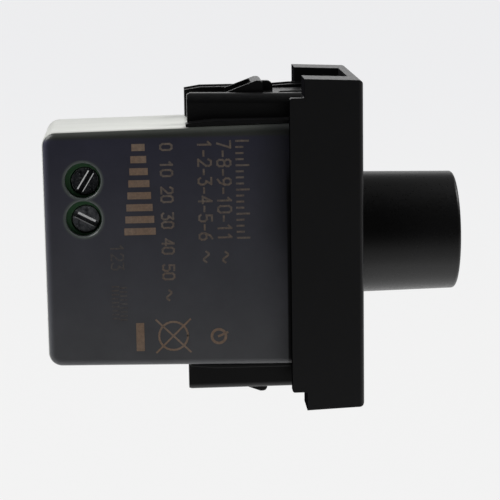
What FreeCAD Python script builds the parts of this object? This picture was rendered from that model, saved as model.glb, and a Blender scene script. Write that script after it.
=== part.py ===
import FreeCAD, Part
import math
import os
import Sketcher
from FreeCAD import Placement, Rotation, Vector

# Snap-in rotary dimmer module for a modular wiring frame, in millimetres.
# +X points out of the wall along the knob's axis, +Z is up.
# The origin is on the knob's axis, in the plane of the ears' rear faces, which rest on the
# supporting frame.

SIZES = {
    # front frame
    "frame_width": 22.5,
    "frame_height": 45.0,
    "frame_depth": 7.8,
    "frame_draft": 0.32,
    "front_wall": 1.56,
    "side_wall": 1.3,
    "tail_depth": 2.0,
    "tail_height": 39.94,
    "tail_wall": 1.37,
    "tail_corner_round": 0.35,
    "ear_corner_round": 0.25,
    "slot_width": 12.2,
    "frame_edge_round": 0.65,
    "post_radius": 1.2,
    "post_side": 7.8,
    "post_up": 14.6,
    "lug_length": 2.6,
    "lug_depth": 0.5,
    "lug_thickness": 0.6,
    "lug_side_gap": 0.6,
    # carrier and its arms
    "carrier_gap": 0.2,
    "panel_place": 1.0,
    "panel_thickness": 1.4,
    "plate_reach": 15.65,
    "plate_width": 16.0,
    "plate_top": 16.85,
    "plate_drop": 0.2,
    "plate_slope_end": 12.0,
    "plate_slope_height": 0.35,
    "plate_setback": 0.55,
    "plate_tab": 1.8,
    "plate_gap": 0.05,
    "arm_reach": 15.4,
    "far_reach_extra": 0.15,
    "low_reach_extra": 0.45,
    "arm_width": 11.32,
    "arm_wall": 1.9,
    "arm_sink": 0.1,
    "near_rear_top": 20.3,
    "near_front_top": 20.05,
    "near_level_start": 2.0,
    "near_round": 1.3,
    "low_near_extra": 0.3,
    "low_front_extra": 0.52,
    "low_near_round": 0.8,
    "arm_rib": 0.3,
    "arm_rib_height": 0.2,
    "arm_top": 20.4,
    "arm_rise": 0.18,
    "arm_rise_end": 1.0,
    "arm_rise_start": 4.0,
    "far_bevel_length": 2.2,
    "far_bevel_height": 0.34,
    "near_bevel_length": 0.45,
    "near_bevel_height": 0.25,
    # snap tongues
    "tongue_side_gap": 0.46,
    "tongue_thickness": 1.0,
    "tongue_top": 20.0,
    "tongue_end": 10.0,
    "notch_rear": 3.0,
    "notch_slope": 0.5,
    "notch_front": 2.2,
    "notch_depth": 2.0,
    "pivot_place": 4.6,
    "pivot_radius": 0.7,
    "hook_heel": 0.15,
    "hook_peak": 5.9,
    "hook_nose": 4.95,
    "hook_height": 1.65,
    "hook_nose_round": 0.6,
    "hook_rib": 0.4,
    "recess_front": 6.6,
    "recess_depth": 0.55,
    "stop_rib_front": 3.5,
    "stop_rib_width": 1.0,
    "stop_rib_drop": 0.3,
    "stop_rib_round": 0.8,
    "side_play": 0.05,
    # knob
    "knob_base_radius": 8.42,
    "knob_end_radius": 8.17,
    "knob_length": 13.65,
    "knob_skirt": 2.5,
    "knob_gap": 0.4,
    "knob_wall": 1.3,
    "knob_end_wall": 1.6,
    "knob_edge_round": 0.45,
    "knob_hub_radius": 4.6,
    "knob_hub_length": 10.8,
    "push_travel": 1.5,
    # body
    "body_rear_height": 31.52,
    "body_seat_height": 32.71,
    "body_drop": 0.34,
    "body_near": 8.76,
    "body_far": 8.4,
    "body_wall": 1.2,
    "cover_thickness": 1.1,
    "cover_edge_round": 1.0,
    "body_corner_round": 1.9,
    "shell_edge_round": 1.8,
    "body_front_gap": 0.2,
    "lip_depth": 1.2,
    "lip_thickness": 0.8,
    "lip_gap": 0.1,
    "access_radius": 2.4,
    "access_rim": 0.15,
    "access_shift_back": 0.25,
    "access_shift_up": 0.2,
    # main board
    "board_level": 3.6,
    "board_thickness": 1.6,
    "board_gap": 0.25,
    "board_clearance": 0.3,
    "board_setback": 2.4,
    "cut_out_gap": 0.6,
    "board_post_radius": 1.4,
    "board_post_inset": 1.9,
    # terminals
    "block_depth": 7.96,
    "block_gap": 0.1,
    "block_centre": 6.5,
    "block_end_wall": 0.65,
    "block_web": 0.76,
    "pole_pitch": 5.13,
    "screw_to_block_rear": 4.29,
    "head_recess": 1.5,
    "head_radius": 1.78,
    "head_height": 1.5,
    "screw_radius": 1.5,
    "screw_tip_gap": 0.2,
    "drive_width": 0.75,
    "drive_depth": 0.8,
    "drive_angle_top": 58.0,
    "drive_angle_bottom": -28.0,
    "cage_length": 3.6,
    "cage_width": 4.2,
    "cage_wall": 0.5,
    "cage_nut_wall": 1.1,
    "cage_base_wall": 0.8,
    "cage_gap": 0.2,
    "cage_travel": 1.25,
    "bar_thickness": 0.8,
    "bar_width": 2.2,
    "wire_space": 2.5,
    "wire_entry_radius": 1.35,
    "running_gap": 0.05,
    "pin_reach": 0.7,
    # rotary control
    "bush_radius": 4.5,
    "bush_reach": 3.6,
    "flange_thickness": 2.2,
    "nut_across_corners": 12.4,
    "nut_thickness": 2.0,
    "washer_radius": 6.2,
    "washer_thickness": 0.4,
    "shaft_radius": 3.0,
    "shaft_flat": 2.0,
    "shaft_flat_length": 9.6,
    "shaft_end_gap": 0.4,
    "tail_radius": 1.8,
    "tail_flat": 1.2,
    "collar_radius": 3.5,
    "collar_thickness": 0.8,
    "can_radius": 7.0,
    "can_depth": 6.8,
    "can_wall": 0.5,
    "track_radius": 6.4,
    "track_thickness": 0.8,
    "track_place": 4.4,
    "rotor_radius": 5.6,
    "rotor_thickness": 1.4,
    "rotor_place": 2.0,
    "rotor_hub_radius": 3.0,
    "wiper_gap": 0.1,
    "wiper_thickness": 0.25,
    "wiper_inner_radius": 3.4,
    "wiper_outer_radius": 5.2,
    "terminal_level": 5.85,
    "terminal_pitch": 1.6,
    "terminal_width": 0.5,
    # push switch
    "switch_depth": 7.0,
    "switch_width": 11.0,
    "switch_height": 13.0,
    "switch_wall": 0.8,
    "plunger_gap": 0.2,
    "plunger_radius": 1.7,
    "plunger_flange_radius": 2.9,
    "plunger_flange": 0.8,
    "plunger_stem_radius": 1.2,
    "plunger_stem": 1.9,
    "bridge_thickness": 0.3,
    "bridge_width": 2.0,
    "contact_thickness": 0.4,
    "contact_width": 1.8,
    "contact_gap": 0.1,
    "spring_radius": 2.0,
    "spring_wire": 0.25,
    "spring_turns": 4.0,
    "control_board_thickness": 1.6,
    "control_board_gap": 0.4,
    # power parts
    "bay_length": 9.0,
    "header_depth": 2.5,
    "header_height": 2.54,
    "header_low": -7.2,
    "header_pitch": 1.8,
    "sink_thickness": 1.2,
    "sink_length": 12.4,
    "sink_height": 13.0,
    "sink_fin": 9.0,
    "sink_gap": 0.3,
    "triac_width": 8.0,
    "triac_height": 11.0,
    "triac_thickness": 3.0,
    "triac_inset": 1.4,
    "triac_hole_inset": 3.8,
    "triac_pitch": 2.29,
    "sink_screw_radius": 1.4,
    "sink_screw_head": 2.6,
    "sink_screw_head_height": 1.6,
    "choke_radius": 2.9,
    "choke_core_radius": 1.4,
    "choke_length": 11.0,
    "choke_flange": 1.2,
    "choke_inset": 2.0,
    "part_gap": 0.4,
    "film_length": 11.0,
    "film_width": 5.0,
    "film_height": 9.0,
    "film_round": 0.4,
    "timing_length": 3.0,
    "timing_width": 2.5,
    "timing_height": 4.5,
    "fuse_radius": 3.0,
    "fuse_height": 7.5,
    "resistor_radius": 0.8,
    "resistor_length": 4.2,
    "resistor_pitch": 2.6,
    "resistor_span": 6.0,
    "diac_radius": 0.7,
    "diac_length": 3.2,
    "wire_radius": 0.25,
}


class Size:
    """A length: the sheet formula that drives it, and its present value."""

    def __init__(self, text, value):
        self.text = text
        self.value = float(value)

    def combine(self, sign, other, value):
        return Size(f"({self.text} {sign} {other.text})", value)

    def __add__(self, other):
        other = as_size(other)
        return self.combine("+", other, self.value + other.value)

    def __sub__(self, other):
        other = as_size(other)
        return self.combine("-", other, self.value - other.value)

    def __mul__(self, other):
        other = as_size(other)
        return self.combine("*", other, self.value * other.value)

    def __truediv__(self, other):
        other = as_size(other)
        return self.combine("/", other, self.value / other.value)

    def __radd__(self, other):
        return as_size(other) + self

    def __rsub__(self, other):
        return as_size(other) - self

    def __rmul__(self, other):
        return as_size(other) * self

    def __neg__(self):
        return as_size(0) - self


def as_size(number):
    return number if isinstance(number, Size) else Size(repr(float(number)), number)


doc = FreeCAD.newDocument("dimmer_module")
sheet = doc.addObject("Spreadsheet::Sheet", "sizes")
for row, (alias, number) in enumerate(SIZES.items(), start=1):
    sheet.set(f"A{row}", alias)
    sheet.set(f"B{row}", str(number))
    sheet.setAlias(f"B{row}", alias)
doc.recompute()


class Driven:
    """Every size of the sheet by its alias."""


d = Driven()
for alias, number in SIZES.items():
    setattr(d, alias, Size("sizes." + alias, number))

ZERO = as_size(0)
SIDES = (1, -1)


# Tools that build bound objects

def bind(thing, name, size):
    thing.setExpression(name, as_size(size).text)


def place(thing, x=ZERO, y=ZERO, z=ZERO):
    for letter, size in zip("xyz", (x, y, z)):
        bind(thing, "Placement.Base." + letter, size)


def box(name, x, y, z):
    """A box between two limits along each axis."""
    thing = doc.addObject("Part::Box", name)
    for side, (low, high) in zip(("Length", "Width", "Height"), (x, y, z)):
        bind(thing, side, as_size(high) - low)
    place(thing, x[0], y[0], z[0])
    return thing


TURN_FROM_Z = {
    "x": Rotation(Vector(0, 1, 0), 90),
    "y": Rotation(Vector(1, 0, 0), -90),
    "z": Rotation(),
}


def rod(name, axis, ends, radius, centre=(ZERO, ZERO)):
    """A cylinder along an axis; centre holds its two other coordinates, in X, Y, Z order."""
    thing = doc.addObject("Part::Cylinder", name)
    bind(thing, "Radius", radius)
    bind(thing, "Height", as_size(ends[1]) - ends[0])
    thing.Placement = Placement(Vector(), TURN_FROM_Z[axis])
    spot = list(centre)
    spot.insert("xyz".index(axis), ends[0])
    place(thing, *spot)
    return thing


def fused(name, shapes):
    thing = doc.addObject("Part::MultiFuse", name)
    thing.Shapes = shapes
    return thing


def cut(name, base, tools):
    thing = doc.addObject("Part::Cut", name)
    thing.Base = base
    thing.Tool = tools[0] if len(tools) == 1 else fused(name + "_tools", tools)
    return thing


def group(name, shapes):
    thing = doc.addObject("Part::Compound", name)
    thing.Links = shapes
    return thing


NORMAL = {"XY_Plane": 1, "XZ_Plane": -1, "YZ_Plane": 1}


def origin_part(body, role):
    return next(part for part in body.Origin.OriginFeatures if part.Role == role)


def new_body(name):
    return doc.addObject("PartDesign::Body", name)


def draw_outline(sketch, corners):
    first = sketch.GeometryCount
    spots = [(as_size(u), as_size(v)) for u, v in corners]
    for index, (u, v) in enumerate(spots):
        after_u, after_v = spots[(index + 1) % len(spots)]
        line = Part.LineSegment(Vector(u.value, v.value, 0), Vector(after_u.value, after_v.value, 0))
        sketch.addGeometry(line, False)
    for index in range(len(spots)):
        after = first + (index + 1) % len(spots)
        sketch.addConstraint(Sketcher.Constraint("Coincident", first + index, 2, after, 1))
    for index, (u, v) in enumerate(spots):
        for kind, size in (("DistanceX", u), ("DistanceY", v)):
            rule = Sketcher.Constraint(kind, -1, 1, first + index, 1, size.value)
            number = sketch.addConstraint(rule)
            sketch.setExpression(f"Constraints[{number}]", size.text)


def draw_circle(sketch, u, v, radius):
    u, v, radius = as_size(u), as_size(v), as_size(radius)
    circle = Part.Circle(Vector(u.value, v.value, 0), Vector(0, 0, 1), radius.value)
    index = sketch.addGeometry(circle, False)
    rules = (
        (Sketcher.Constraint("DistanceX", -1, 1, index, 3, u.value), u),
        (Sketcher.Constraint("DistanceY", -1, 1, index, 3, v.value), v),
        (Sketcher.Constraint("Radius", index, radius.value), radius),
    )
    for rule, size in rules:
        number = sketch.addConstraint(rule)
        sketch.setExpression(f"Constraints[{number}]", size.text)


def rectangle(u, v):
    return [(u[0], v[0]), (u[1], v[0]), (u[1], v[1]), (u[0], v[1])]


def sketch_on(body, role, level, shapes):
    """A sketch on one of the body's planes; a shape is an outline's list or (u, v, radius)."""
    sketch = body.newObject("Sketcher::SketchObject", body.Name + "_sketch")
    sketch.AttachmentSupport = [(origin_part(body, role), "")]
    sketch.MapMode = "FlatFace"
    bind(sketch, "AttachmentOffset.Base.z", level * NORMAL[role])
    for shape in shapes:
        if isinstance(shape, list):
            draw_outline(sketch, shape)
        else:
            draw_circle(sketch, *shape)
    return sketch


def pad(body, role, limits, *shapes):
    """Adds material between two levels along the plane's axis."""
    low, high = as_size(limits[0]), as_size(limits[1])
    start = low if NORMAL[role] > 0 else high
    feature = body.newObject("PartDesign::Pad", body.Name + "_pad")
    feature.Profile = sketch_on(body, role, start, shapes)
    bind(feature, "Length", high - low)
    body.Tip = feature
    doc.recompute()


def pocket(body, role, limits, *shapes):
    """Takes material away between two levels along the plane's axis."""
    before = body.Shape.Volume
    low, high = as_size(limits[0]), as_size(limits[1])
    start = high if NORMAL[role] > 0 else low
    feature = body.newObject("PartDesign::Pocket", body.Name + "_pocket")
    feature.Profile = sketch_on(body, role, start, shapes)
    bind(feature, "Length", high - low)
    body.Tip = feature
    doc.recompute()
    if not body.Shape.Volume < before:
        raise RuntimeError(f"a pocket of {body.Name} cuts nothing")


def revolve(body, role, axis, corners):
    feature = body.newObject("PartDesign::Revolution", body.Name + "_turned")
    feature.Profile = sketch_on(body, role, ZERO, [corners])
    feature.ReferenceAxis = (origin_part(body, axis), [""])
    feature.Angle = 360
    body.Tip = feature
    doc.recompute()


def soften(body, kind, size, wanted):
    """Fillet or chamfer on every edge that wanted() picks."""
    base = body.Tip
    edges = [f"Edge{i}" for i, edge in enumerate(base.Shape.Edges, start=1) if wanted(edge)]
    if not edges:
        raise RuntimeError(f"no edges to soften on {body.Name}")
    feature = body.newObject("PartDesign::" + kind, body.Name + "_" + kind.lower())
    feature.Base = (base, edges)
    bind(feature, "Radius" if kind == "Fillet" else "Size", size)
    body.Tip = feature
    doc.recompute()


def limits_of(edge):
    bound = edge.BoundBox
    return ((bound.XMin, bound.XMax), (bound.YMin, bound.YMax), (bound.ZMin, bound.ZMax))


def lies_at(edge, axis, level):
    """True where the whole edge has one coordinate."""
    low, high = limits_of(edge)["xyz".index(axis)]
    return abs(low - level) < 1e-4 and abs(high - level) < 1e-4


# Levels that several pieces share

frame_half_width = d.frame_width / 2
frame_half_height = d.frame_height / 2
tail_half_height = d.tail_height / 2
cavity_half_width = frame_half_width - d.side_wall
cavity_half_height = tail_half_height - d.tail_wall
cavity_front = d.frame_depth - d.front_wall

panel_front = d.panel_place + d.panel_thickness
arm_front = cavity_front - d.carrier_gap
arm_half_width = d.arm_width / 2

flange_rear = d.panel_place - d.flange_thickness
can_rear = flange_rear - d.can_depth
switch_rear = can_rear - d.switch_depth
control_rear = switch_rear - d.control_board_thickness
block_front = control_rear - d.bay_length
block_rear = block_front - d.block_depth
shell_rear_inside = block_rear - d.block_gap
body_rear = shell_rear_inside - d.body_wall
body_front = d.panel_place - d.body_front_gap

cover_inside = d.cover_thickness - d.body_near
shell_floor = d.body_far - d.body_wall
board_back = d.board_level + d.board_thickness
board_front = -d.board_setback
board_rear = block_rear
board_cut_rear = control_rear - d.board_clearance
board_cut_half = d.can_radius + d.cut_out_gap

screw_x = block_rear + d.screw_to_block_rear
block_top_level = cover_inside + d.block_gap
head_top = d.head_recess - d.body_near
head_under = head_top + d.head_height
web_under = head_under + d.block_web + d.running_gap
cage_top = web_under + d.cage_gap + d.cage_travel
cage_nut_under = cage_top + d.cage_nut_wall
bar_top = cage_nut_under + d.cage_nut_wall
bar_under = bar_top + d.bar_thickness
cage_base_top = bar_under + d.wire_space
cage_bottom = cage_base_top + d.cage_base_wall
wire_level = bar_under + d.wire_space / 2
poles = {"1": d.block_centre + d.pole_pitch / 2, "2": d.block_centre - d.pole_pitch / 2}


def body_edge(x, side, inset=ZERO):
    """Level of the tapered body's top or bottom at one place along X, less an inset."""
    rise = (d.body_seat_height - d.body_rear_height) / 2
    share = (as_size(x) - body_rear) / (ZERO - body_rear)
    drop = d.body_drop if side < 0 else ZERO
    return (d.body_rear_height / 2 + rise * share + drop - inset) * side


def body_outline(rear, front, inset=ZERO):
    """The tapered side view of the body, pulled in by an inset above and below."""
    return [
        (rear, body_edge(rear, -1, inset)),
        (front, body_edge(front, -1, inset)),
        (front, body_edge(front, 1, inset)),
        (rear, body_edge(rear, 1, inset)),
    ]


# Front frame

def make_front_frame():
    body = new_body("front_frame")
    front_half = frame_half_height - d.frame_draft
    side_view = [
        (-d.tail_depth, -tail_half_height),
        (ZERO, -tail_half_height),
        (ZERO, -frame_half_height),
        (d.frame_depth, -front_half),
        (d.frame_depth, front_half),
        (ZERO, frame_half_height),
        (ZERO, tail_half_height),
        (-d.tail_depth, tail_half_height),
    ]
    pad(body, "XZ_Plane", (-frame_half_width, frame_half_width), side_view)

    def on_front_border(edge):
        return lies_at(edge, "x", d.frame_depth.value)

    def on_tail_corner(place):
        def wanted(edge):
            across = not lies_at(edge, "y", limits_of(edge)[1][0])
            level = limits_of(edge)[2][0]
            at_tail = abs(abs(level) - tail_half_height.value) < 1e-4
            return across and at_tail and lies_at(edge, "x", place.value)

        return wanted

    soften(body, "Fillet", d.frame_edge_round, on_front_border)
    soften(body, "Fillet", d.tail_corner_round, on_tail_corner(-d.tail_depth))
    soften(body, "Fillet", d.ear_corner_round, on_tail_corner(ZERO))
    cavity = rectangle(
        (-cavity_half_width, cavity_half_width), (-cavity_half_height, cavity_half_height)
    )
    pocket(body, "YZ_Plane", (-d.tail_depth, cavity_front), cavity)
    tail_opening = rectangle(
        (-cavity_half_width, cavity_half_width), (-frame_half_height, frame_half_height)
    )
    pocket(body, "YZ_Plane", (-d.tail_depth, ZERO), tail_opening)
    slot_reach = frame_half_height + d.side_wall
    slot = rectangle((-d.slot_width / 2, d.slot_width / 2), (-slot_reach, slot_reach))
    pocket(body, "YZ_Plane", (-d.tail_depth, cavity_front), slot)
    knob_hole = (ZERO, ZERO, d.knob_base_radius + d.knob_gap)
    pocket(body, "YZ_Plane", (cavity_front - d.front_wall, d.frame_depth), knob_hole)
    posts = [(d.post_side * y, d.post_up * z, d.post_radius) for y in SIDES for z in SIDES]
    pad(body, "YZ_Plane", (panel_front, cavity_front + d.front_wall / 2), *posts)
    lug_end = d.panel_place - d.carrier_gap / 2
    lug_start = d.slot_width / 2 + d.lug_side_gap
    lugs = [
        rectangle((lug_end - d.lug_thickness, lug_end),
                  (lug_start * side, (lug_start + d.lug_length) * side))
        for side in SIDES
    ]
    inner = cavity_half_height - d.lug_depth
    outer = cavity_half_height + d.tail_wall / 2
    pad(body, "XY_Plane", (inner, outer), *lugs)
    pad(body, "XY_Plane", (-outer, -inner), *lugs)


# Carrier behind the frame, with its two arms

def make_rear_carrier():
    body = new_body("rear_carrier")
    half_width = cavity_half_width - d.carrier_gap
    half_height = cavity_half_height - d.carrier_gap
    panel = rectangle((-half_width, half_width), (-half_height, half_height))
    pad(body, "YZ_Plane", (d.panel_place, panel_front), panel)

    def under(x, side):
        return body_edge(x, side) + d.plate_gap * side

    def plate_level(side):
        return d.plate_top * side if side > 0 else -d.plate_top - d.plate_drop

    def plate(side):
        level = plate_level(side)
        return [
            (-d.plate_reach, under(-d.plate_reach, side)),
            (body_front, under(body_front, side)),
            (arm_front, under(body_front, side)),
            (arm_front, level),
            (-d.plate_slope_end, level),
            (-d.plate_reach, level - d.plate_slope_height * side),
        ]

    half_plate = d.plate_width / 2
    pad(body, "XZ_Plane", (-half_plate, half_plate), plate(1), plate(-1))
    step = rectangle(
        (-d.plate_reach - d.plate_gap, d.plate_setback - d.plate_reach),
        (d.plate_tab - half_plate, half_plate + d.plate_gap),
    )
    plate_outside = d.plate_top + d.plate_drop + d.plate_gap
    pocket(body, "XY_Plane", (-plate_outside, plate_outside), step)

    def wall_foot(side, reach):
        return [
            (-reach, under(-reach, side) + d.arm_sink * side),
            (body_front, under(body_front, side) + d.arm_sink * side),
            (arm_front, under(body_front, side) + d.arm_sink * side),
        ]

    def near_wall(side):
        reach, rear_top, front_top = d.arm_reach, d.near_rear_top, d.near_front_top
        if side < 0:
            reach += d.low_reach_extra
            rear_top += d.low_near_extra
            front_top += d.low_front_extra
        return wall_foot(side, reach) + [
            (arm_front, front_top * side),
            (-d.near_level_start, front_top * side),
            (d.near_bevel_length - reach, rear_top * side),
            (-reach, (rear_top - d.near_bevel_height) * side),
        ]

    def far_wall(side, lowered=ZERO):
        reach = d.arm_reach + d.far_reach_extra
        crest = d.arm_top + d.arm_rise - lowered
        top = d.arm_top - lowered
        return wall_foot(side, reach) + [
            (arm_front, crest * side),
            (-d.arm_rise_end, crest * side),
            (-d.arm_rise_start, top * side),
            (d.far_bevel_length - reach, top * side),
            (-reach, (top - d.far_bevel_height) * side),
        ]

    inner = arm_half_width - d.arm_wall
    rib_inside = arm_half_width - d.arm_rib
    pad(body, "XZ_Plane", (-arm_half_width, -inner), near_wall(1), near_wall(-1))

    def near_top_edge(side):
        def wanted(edge):
            x, y, z = limits_of(edge)
            outer = min(z[0] * side, z[1] * side) > d.near_front_top.value - 0.01
            long = x[1] - x[0] > d.near_bevel_length.value + 0.01
            return lies_at(edge, "y", -arm_half_width.value) and outer and long

        return wanted

    soften(body, "Fillet", d.near_round, near_top_edge(1))
    soften(body, "Fillet", d.low_near_round, near_top_edge(-1))
    pad(body, "XZ_Plane", (rib_inside, arm_half_width), far_wall(1), far_wall(-1))
    ledge = d.arm_rib_height
    pad(body, "XZ_Plane", (inner, rib_inside), far_wall(1, ledge), far_wall(-1, ledge))
    bush_hole = (ZERO, ZERO, d.bush_radius + d.running_gap)
    pocket(body, "YZ_Plane", (d.panel_place, panel_front), bush_hole)


# Snap tongue: a flexing strip with a hook, on a bar that twists between the arm's walls

def make_snap_tongue(name, side):
    body = new_body(name)
    half = arm_half_width - d.arm_wall - d.tongue_side_gap
    under = d.tongue_top - d.tongue_thickness
    peak = d.tongue_top + d.hook_height
    strip = [
        (-d.tongue_end, under * side),
        (d.pivot_place, under * side),
        (d.pivot_place, d.tongue_top * side),
        (-d.hook_nose, d.tongue_top * side),
        (-d.hook_nose, peak * side),
        (-d.hook_peak, peak * side),
        (-d.tongue_end, (d.tongue_top + d.hook_heel) * side),
    ]
    pad(body, "XZ_Plane", (-half, half), strip)

    def on_top_corner(place, level):
        def wanted(edge):
            return lies_at(edge, "x", place.value) and lies_at(edge, "z", (level * side).value)

        return wanted

    soften(body, "Fillet", d.hook_nose_round, on_top_corner(-d.hook_nose, peak))
    recess = rectangle(
        (-d.tongue_end - d.running_gap, -d.recess_front), (d.hook_rib - half, half - d.hook_rib)
    )
    recess_floor = d.tongue_top - d.recess_depth
    recess_limits = (recess_floor, peak) if side > 0 else (-peak, -recess_floor)
    pocket(body, "XY_Plane", recess_limits, recess)

    # one side is notched ahead of the hook, which makes the strip bend there
    side_cut = [
        (-d.notch_rear, -half - d.running_gap),
        (d.notch_front + d.notch_slope, -half - d.running_gap),
        (d.notch_front, d.notch_depth - half),
        (d.notch_slope - d.notch_rear, d.notch_depth - half),
    ]
    cut_limits = (under, d.tongue_top) if side > 0 else (-d.tongue_top, -under)
    pocket(body, "XY_Plane", cut_limits, side_cut)

    # a narrow rib ahead of the hook stops the tongue against the supporting frame's edge
    rib_top = peak - d.stop_rib_drop
    stop_rib = [
        (-d.hook_peak, under * side),
        (-d.stop_rib_front, under * side),
        (-d.stop_rib_front, rib_top * side),
        (-d.hook_peak, rib_top * side),
    ]
    pad(body, "XZ_Plane", (-d.stop_rib_width / 2, d.stop_rib_width / 2), stop_rib)
    soften(body, "Fillet", d.stop_rib_round, on_top_corner(-d.stop_rib_front, rib_top))
    reach = arm_half_width - d.arm_wall - d.side_play
    bar = (d.pivot_place, (d.tongue_top - d.tongue_thickness / 2) * side, d.pivot_radius)
    pad(body, "XZ_Plane", (-reach, reach), bar)


# Knob, turned about the X axis

def make_knob():
    body = new_body("knob")
    tip = d.frame_depth + d.knob_length
    rear = d.frame_depth - d.knob_skirt
    drop = d.knob_base_radius - d.knob_end_radius
    rear_radius = d.knob_base_radius + drop * d.knob_skirt / d.knob_length
    inside = tip - d.knob_end_wall
    hollow_radius = d.knob_end_radius - d.knob_wall
    hub_rear = inside - d.knob_hub_length
    profile = [
        (rear, rear_radius),
        (tip, d.knob_end_radius),
        (tip, ZERO),
        (hub_rear, ZERO),
        (hub_rear, d.knob_hub_radius),
        (inside, d.knob_hub_radius),
        (inside, hollow_radius),
        (rear, hollow_radius),
    ]
    revolve(body, "XZ_Plane", "X_Axis", profile)

    def on_rim(edge):
        return lies_at(edge, "x", tip.value)

    soften(body, "Fillet", d.knob_edge_round, on_rim)
    bore = (ZERO, ZERO, d.shaft_radius + d.running_gap)
    pocket(body, "YZ_Plane", (hub_rear, inside - d.shaft_end_gap), bore)
    key_low = d.shaft_flat + d.running_gap * 2
    key_high = d.shaft_radius + d.knob_wall / 2
    key_half = d.shaft_radius * 0.7
    flat_rear = inside - d.shaft_end_gap * 2 - d.shaft_flat_length
    key = rectangle((-key_half, key_half), (key_low, key_high))
    pad(body, "YZ_Plane", (flat_rear + d.carrier_gap, inside), key)
    return inside


# Body: light shell, open towards -Y and to the front, and dark cover

def make_body_shell():
    body = new_body("body_shell")
    pad(body, "XZ_Plane", (cover_inside, d.body_far), body_outline(body_rear, body_front))

    def on_rear_corner(edge):
        at_rear = lies_at(edge, "x", body_rear.value)
        return at_rear and not lies_at(edge, "y", limits_of(edge)[1][0])

    soften(body, "Fillet", d.body_corner_round, on_rear_corner)

    def on_far_border(edge):
        return lies_at(edge, "y", d.body_far.value) and not lies_at(edge, "x", body_front.value)

    soften(body, "Fillet", d.shell_edge_round, on_far_border)
    hollow = body_outline(shell_rear_inside, body_front + d.body_wall, d.body_wall)
    pocket(body, "XZ_Plane", (cover_inside, shell_floor), hollow)
    entries = [(wire_level, z, d.wire_entry_radius) for z in poles.values()]
    pocket(body, "YZ_Plane", (body_rear - d.body_wall, shell_rear_inside), *entries)
    inset = d.body_wall + d.board_post_inset
    rear_x = shell_rear_inside + d.board_post_inset
    front_x = board_front - d.board_post_inset
    posts = []
    for x in (rear_x, front_x):
        for side in SIDES:
            posts.append((x, body_edge(x, side, inset), d.board_post_radius))
    pad(body, "XZ_Plane", (board_back, shell_floor + d.body_wall / 2), *posts)


def make_body_cover():
    body = new_body("body_cover")
    pad(body, "XZ_Plane", (-d.body_near, cover_inside), body_outline(body_rear, body_front))

    def on_rear_corner(edge):
        at_rear = lies_at(edge, "x", body_rear.value)
        return at_rear and not lies_at(edge, "y", limits_of(edge)[1][0])

    soften(body, "Fillet", d.body_corner_round, on_rear_corner)

    def on_near_border(edge):
        return lies_at(edge, "y", -d.body_near.value) and not lies_at(edge, "x", body_front.value)

    soften(body, "Fillet", d.cover_edge_round, on_near_border)
    holes = []
    for z in poles.values():
        holes.append((screw_x - d.access_shift_back, z + d.access_shift_up, d.access_radius))
    pocket(body, "XZ_Plane", (-d.body_near, cover_inside), *holes)

    def on_hole_rim(edge):
        round_edge = isinstance(edge.Curve, Part.Circle)
        return round_edge and lies_at(edge, "y", -d.body_near.value) and edge.isClosed()

    soften(body, "Chamfer", d.access_rim, on_hole_rim)

    def lip(side):
        outer = d.body_wall + d.lip_gap
        inner = outer + d.lip_thickness
        rear = block_rear + d.body_corner_round
        return [
            (rear, body_edge(rear, side, inner)),
            (body_front, body_edge(body_front, side, inner)),
            (body_front, body_edge(body_front, side, outer)),
            (rear, body_edge(rear, side, outer)),
        ]

    pad(body, "XZ_Plane", (cover_inside - d.lip_gap, cover_inside + d.lip_depth), lip(1), lip(-1))


# Terminal block with two poles: screws along Y, wires in along X

def make_terminal_block():
    body = new_body("terminal_block")
    cavity_half = d.cage_width / 2 + d.cage_gap * 0.75
    low = poles["2"] - cavity_half - d.block_end_wall
    high = poles["1"] + cavity_half + d.block_end_wall
    pad(body, "XZ_Plane", (block_top_level, d.board_level),
        rectangle((block_rear, block_front), (low, high)))
    cage_room = d.cage_length / 2 + d.cage_gap
    cavities = [
        rectangle((screw_x - cage_room, screw_x + cage_room), (z - cavity_half, z + cavity_half))
        for z in poles.values()
    ]
    pocket(body, "XZ_Plane", (web_under, cage_bottom + d.cage_gap), *cavities)
    heads = [(screw_x, z, d.head_radius + d.cage_gap) for z in poles.values()]
    pocket(body, "XZ_Plane", (block_top_level, head_under + d.running_gap), *heads)
    shanks = [(screw_x, z, d.screw_radius + d.running_gap * 2) for z in poles.values()]
    pocket(body, "XZ_Plane", (head_under, web_under), *shanks)
    entries = [(wire_level, z, d.wire_entry_radius) for z in poles.values()]
    pocket(body, "YZ_Plane", (block_rear, screw_x), *entries)
    slot_half = d.bar_width / 2 + d.running_gap
    slots = [
        rectangle((screw_x, leg_front() + d.running_gap), (z - slot_half, z + slot_half))
        for z in poles.values()
    ]
    pocket(body, "XZ_Plane", (bar_top - d.running_gap, bar_under + d.running_gap), *slots)
    legs = [
        rectangle((leg_rear() - d.running_gap, leg_front() + d.running_gap),
                  (z - slot_half, z + slot_half))
        for z in poles.values()
    ]
    pocket(body, "XZ_Plane", (bar_top, d.board_level), *legs)


def leg_rear():
    return screw_x + d.cage_length / 2 + d.cage_gap + d.running_gap * 6


def leg_front():
    return leg_rear() + d.bar_thickness


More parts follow.
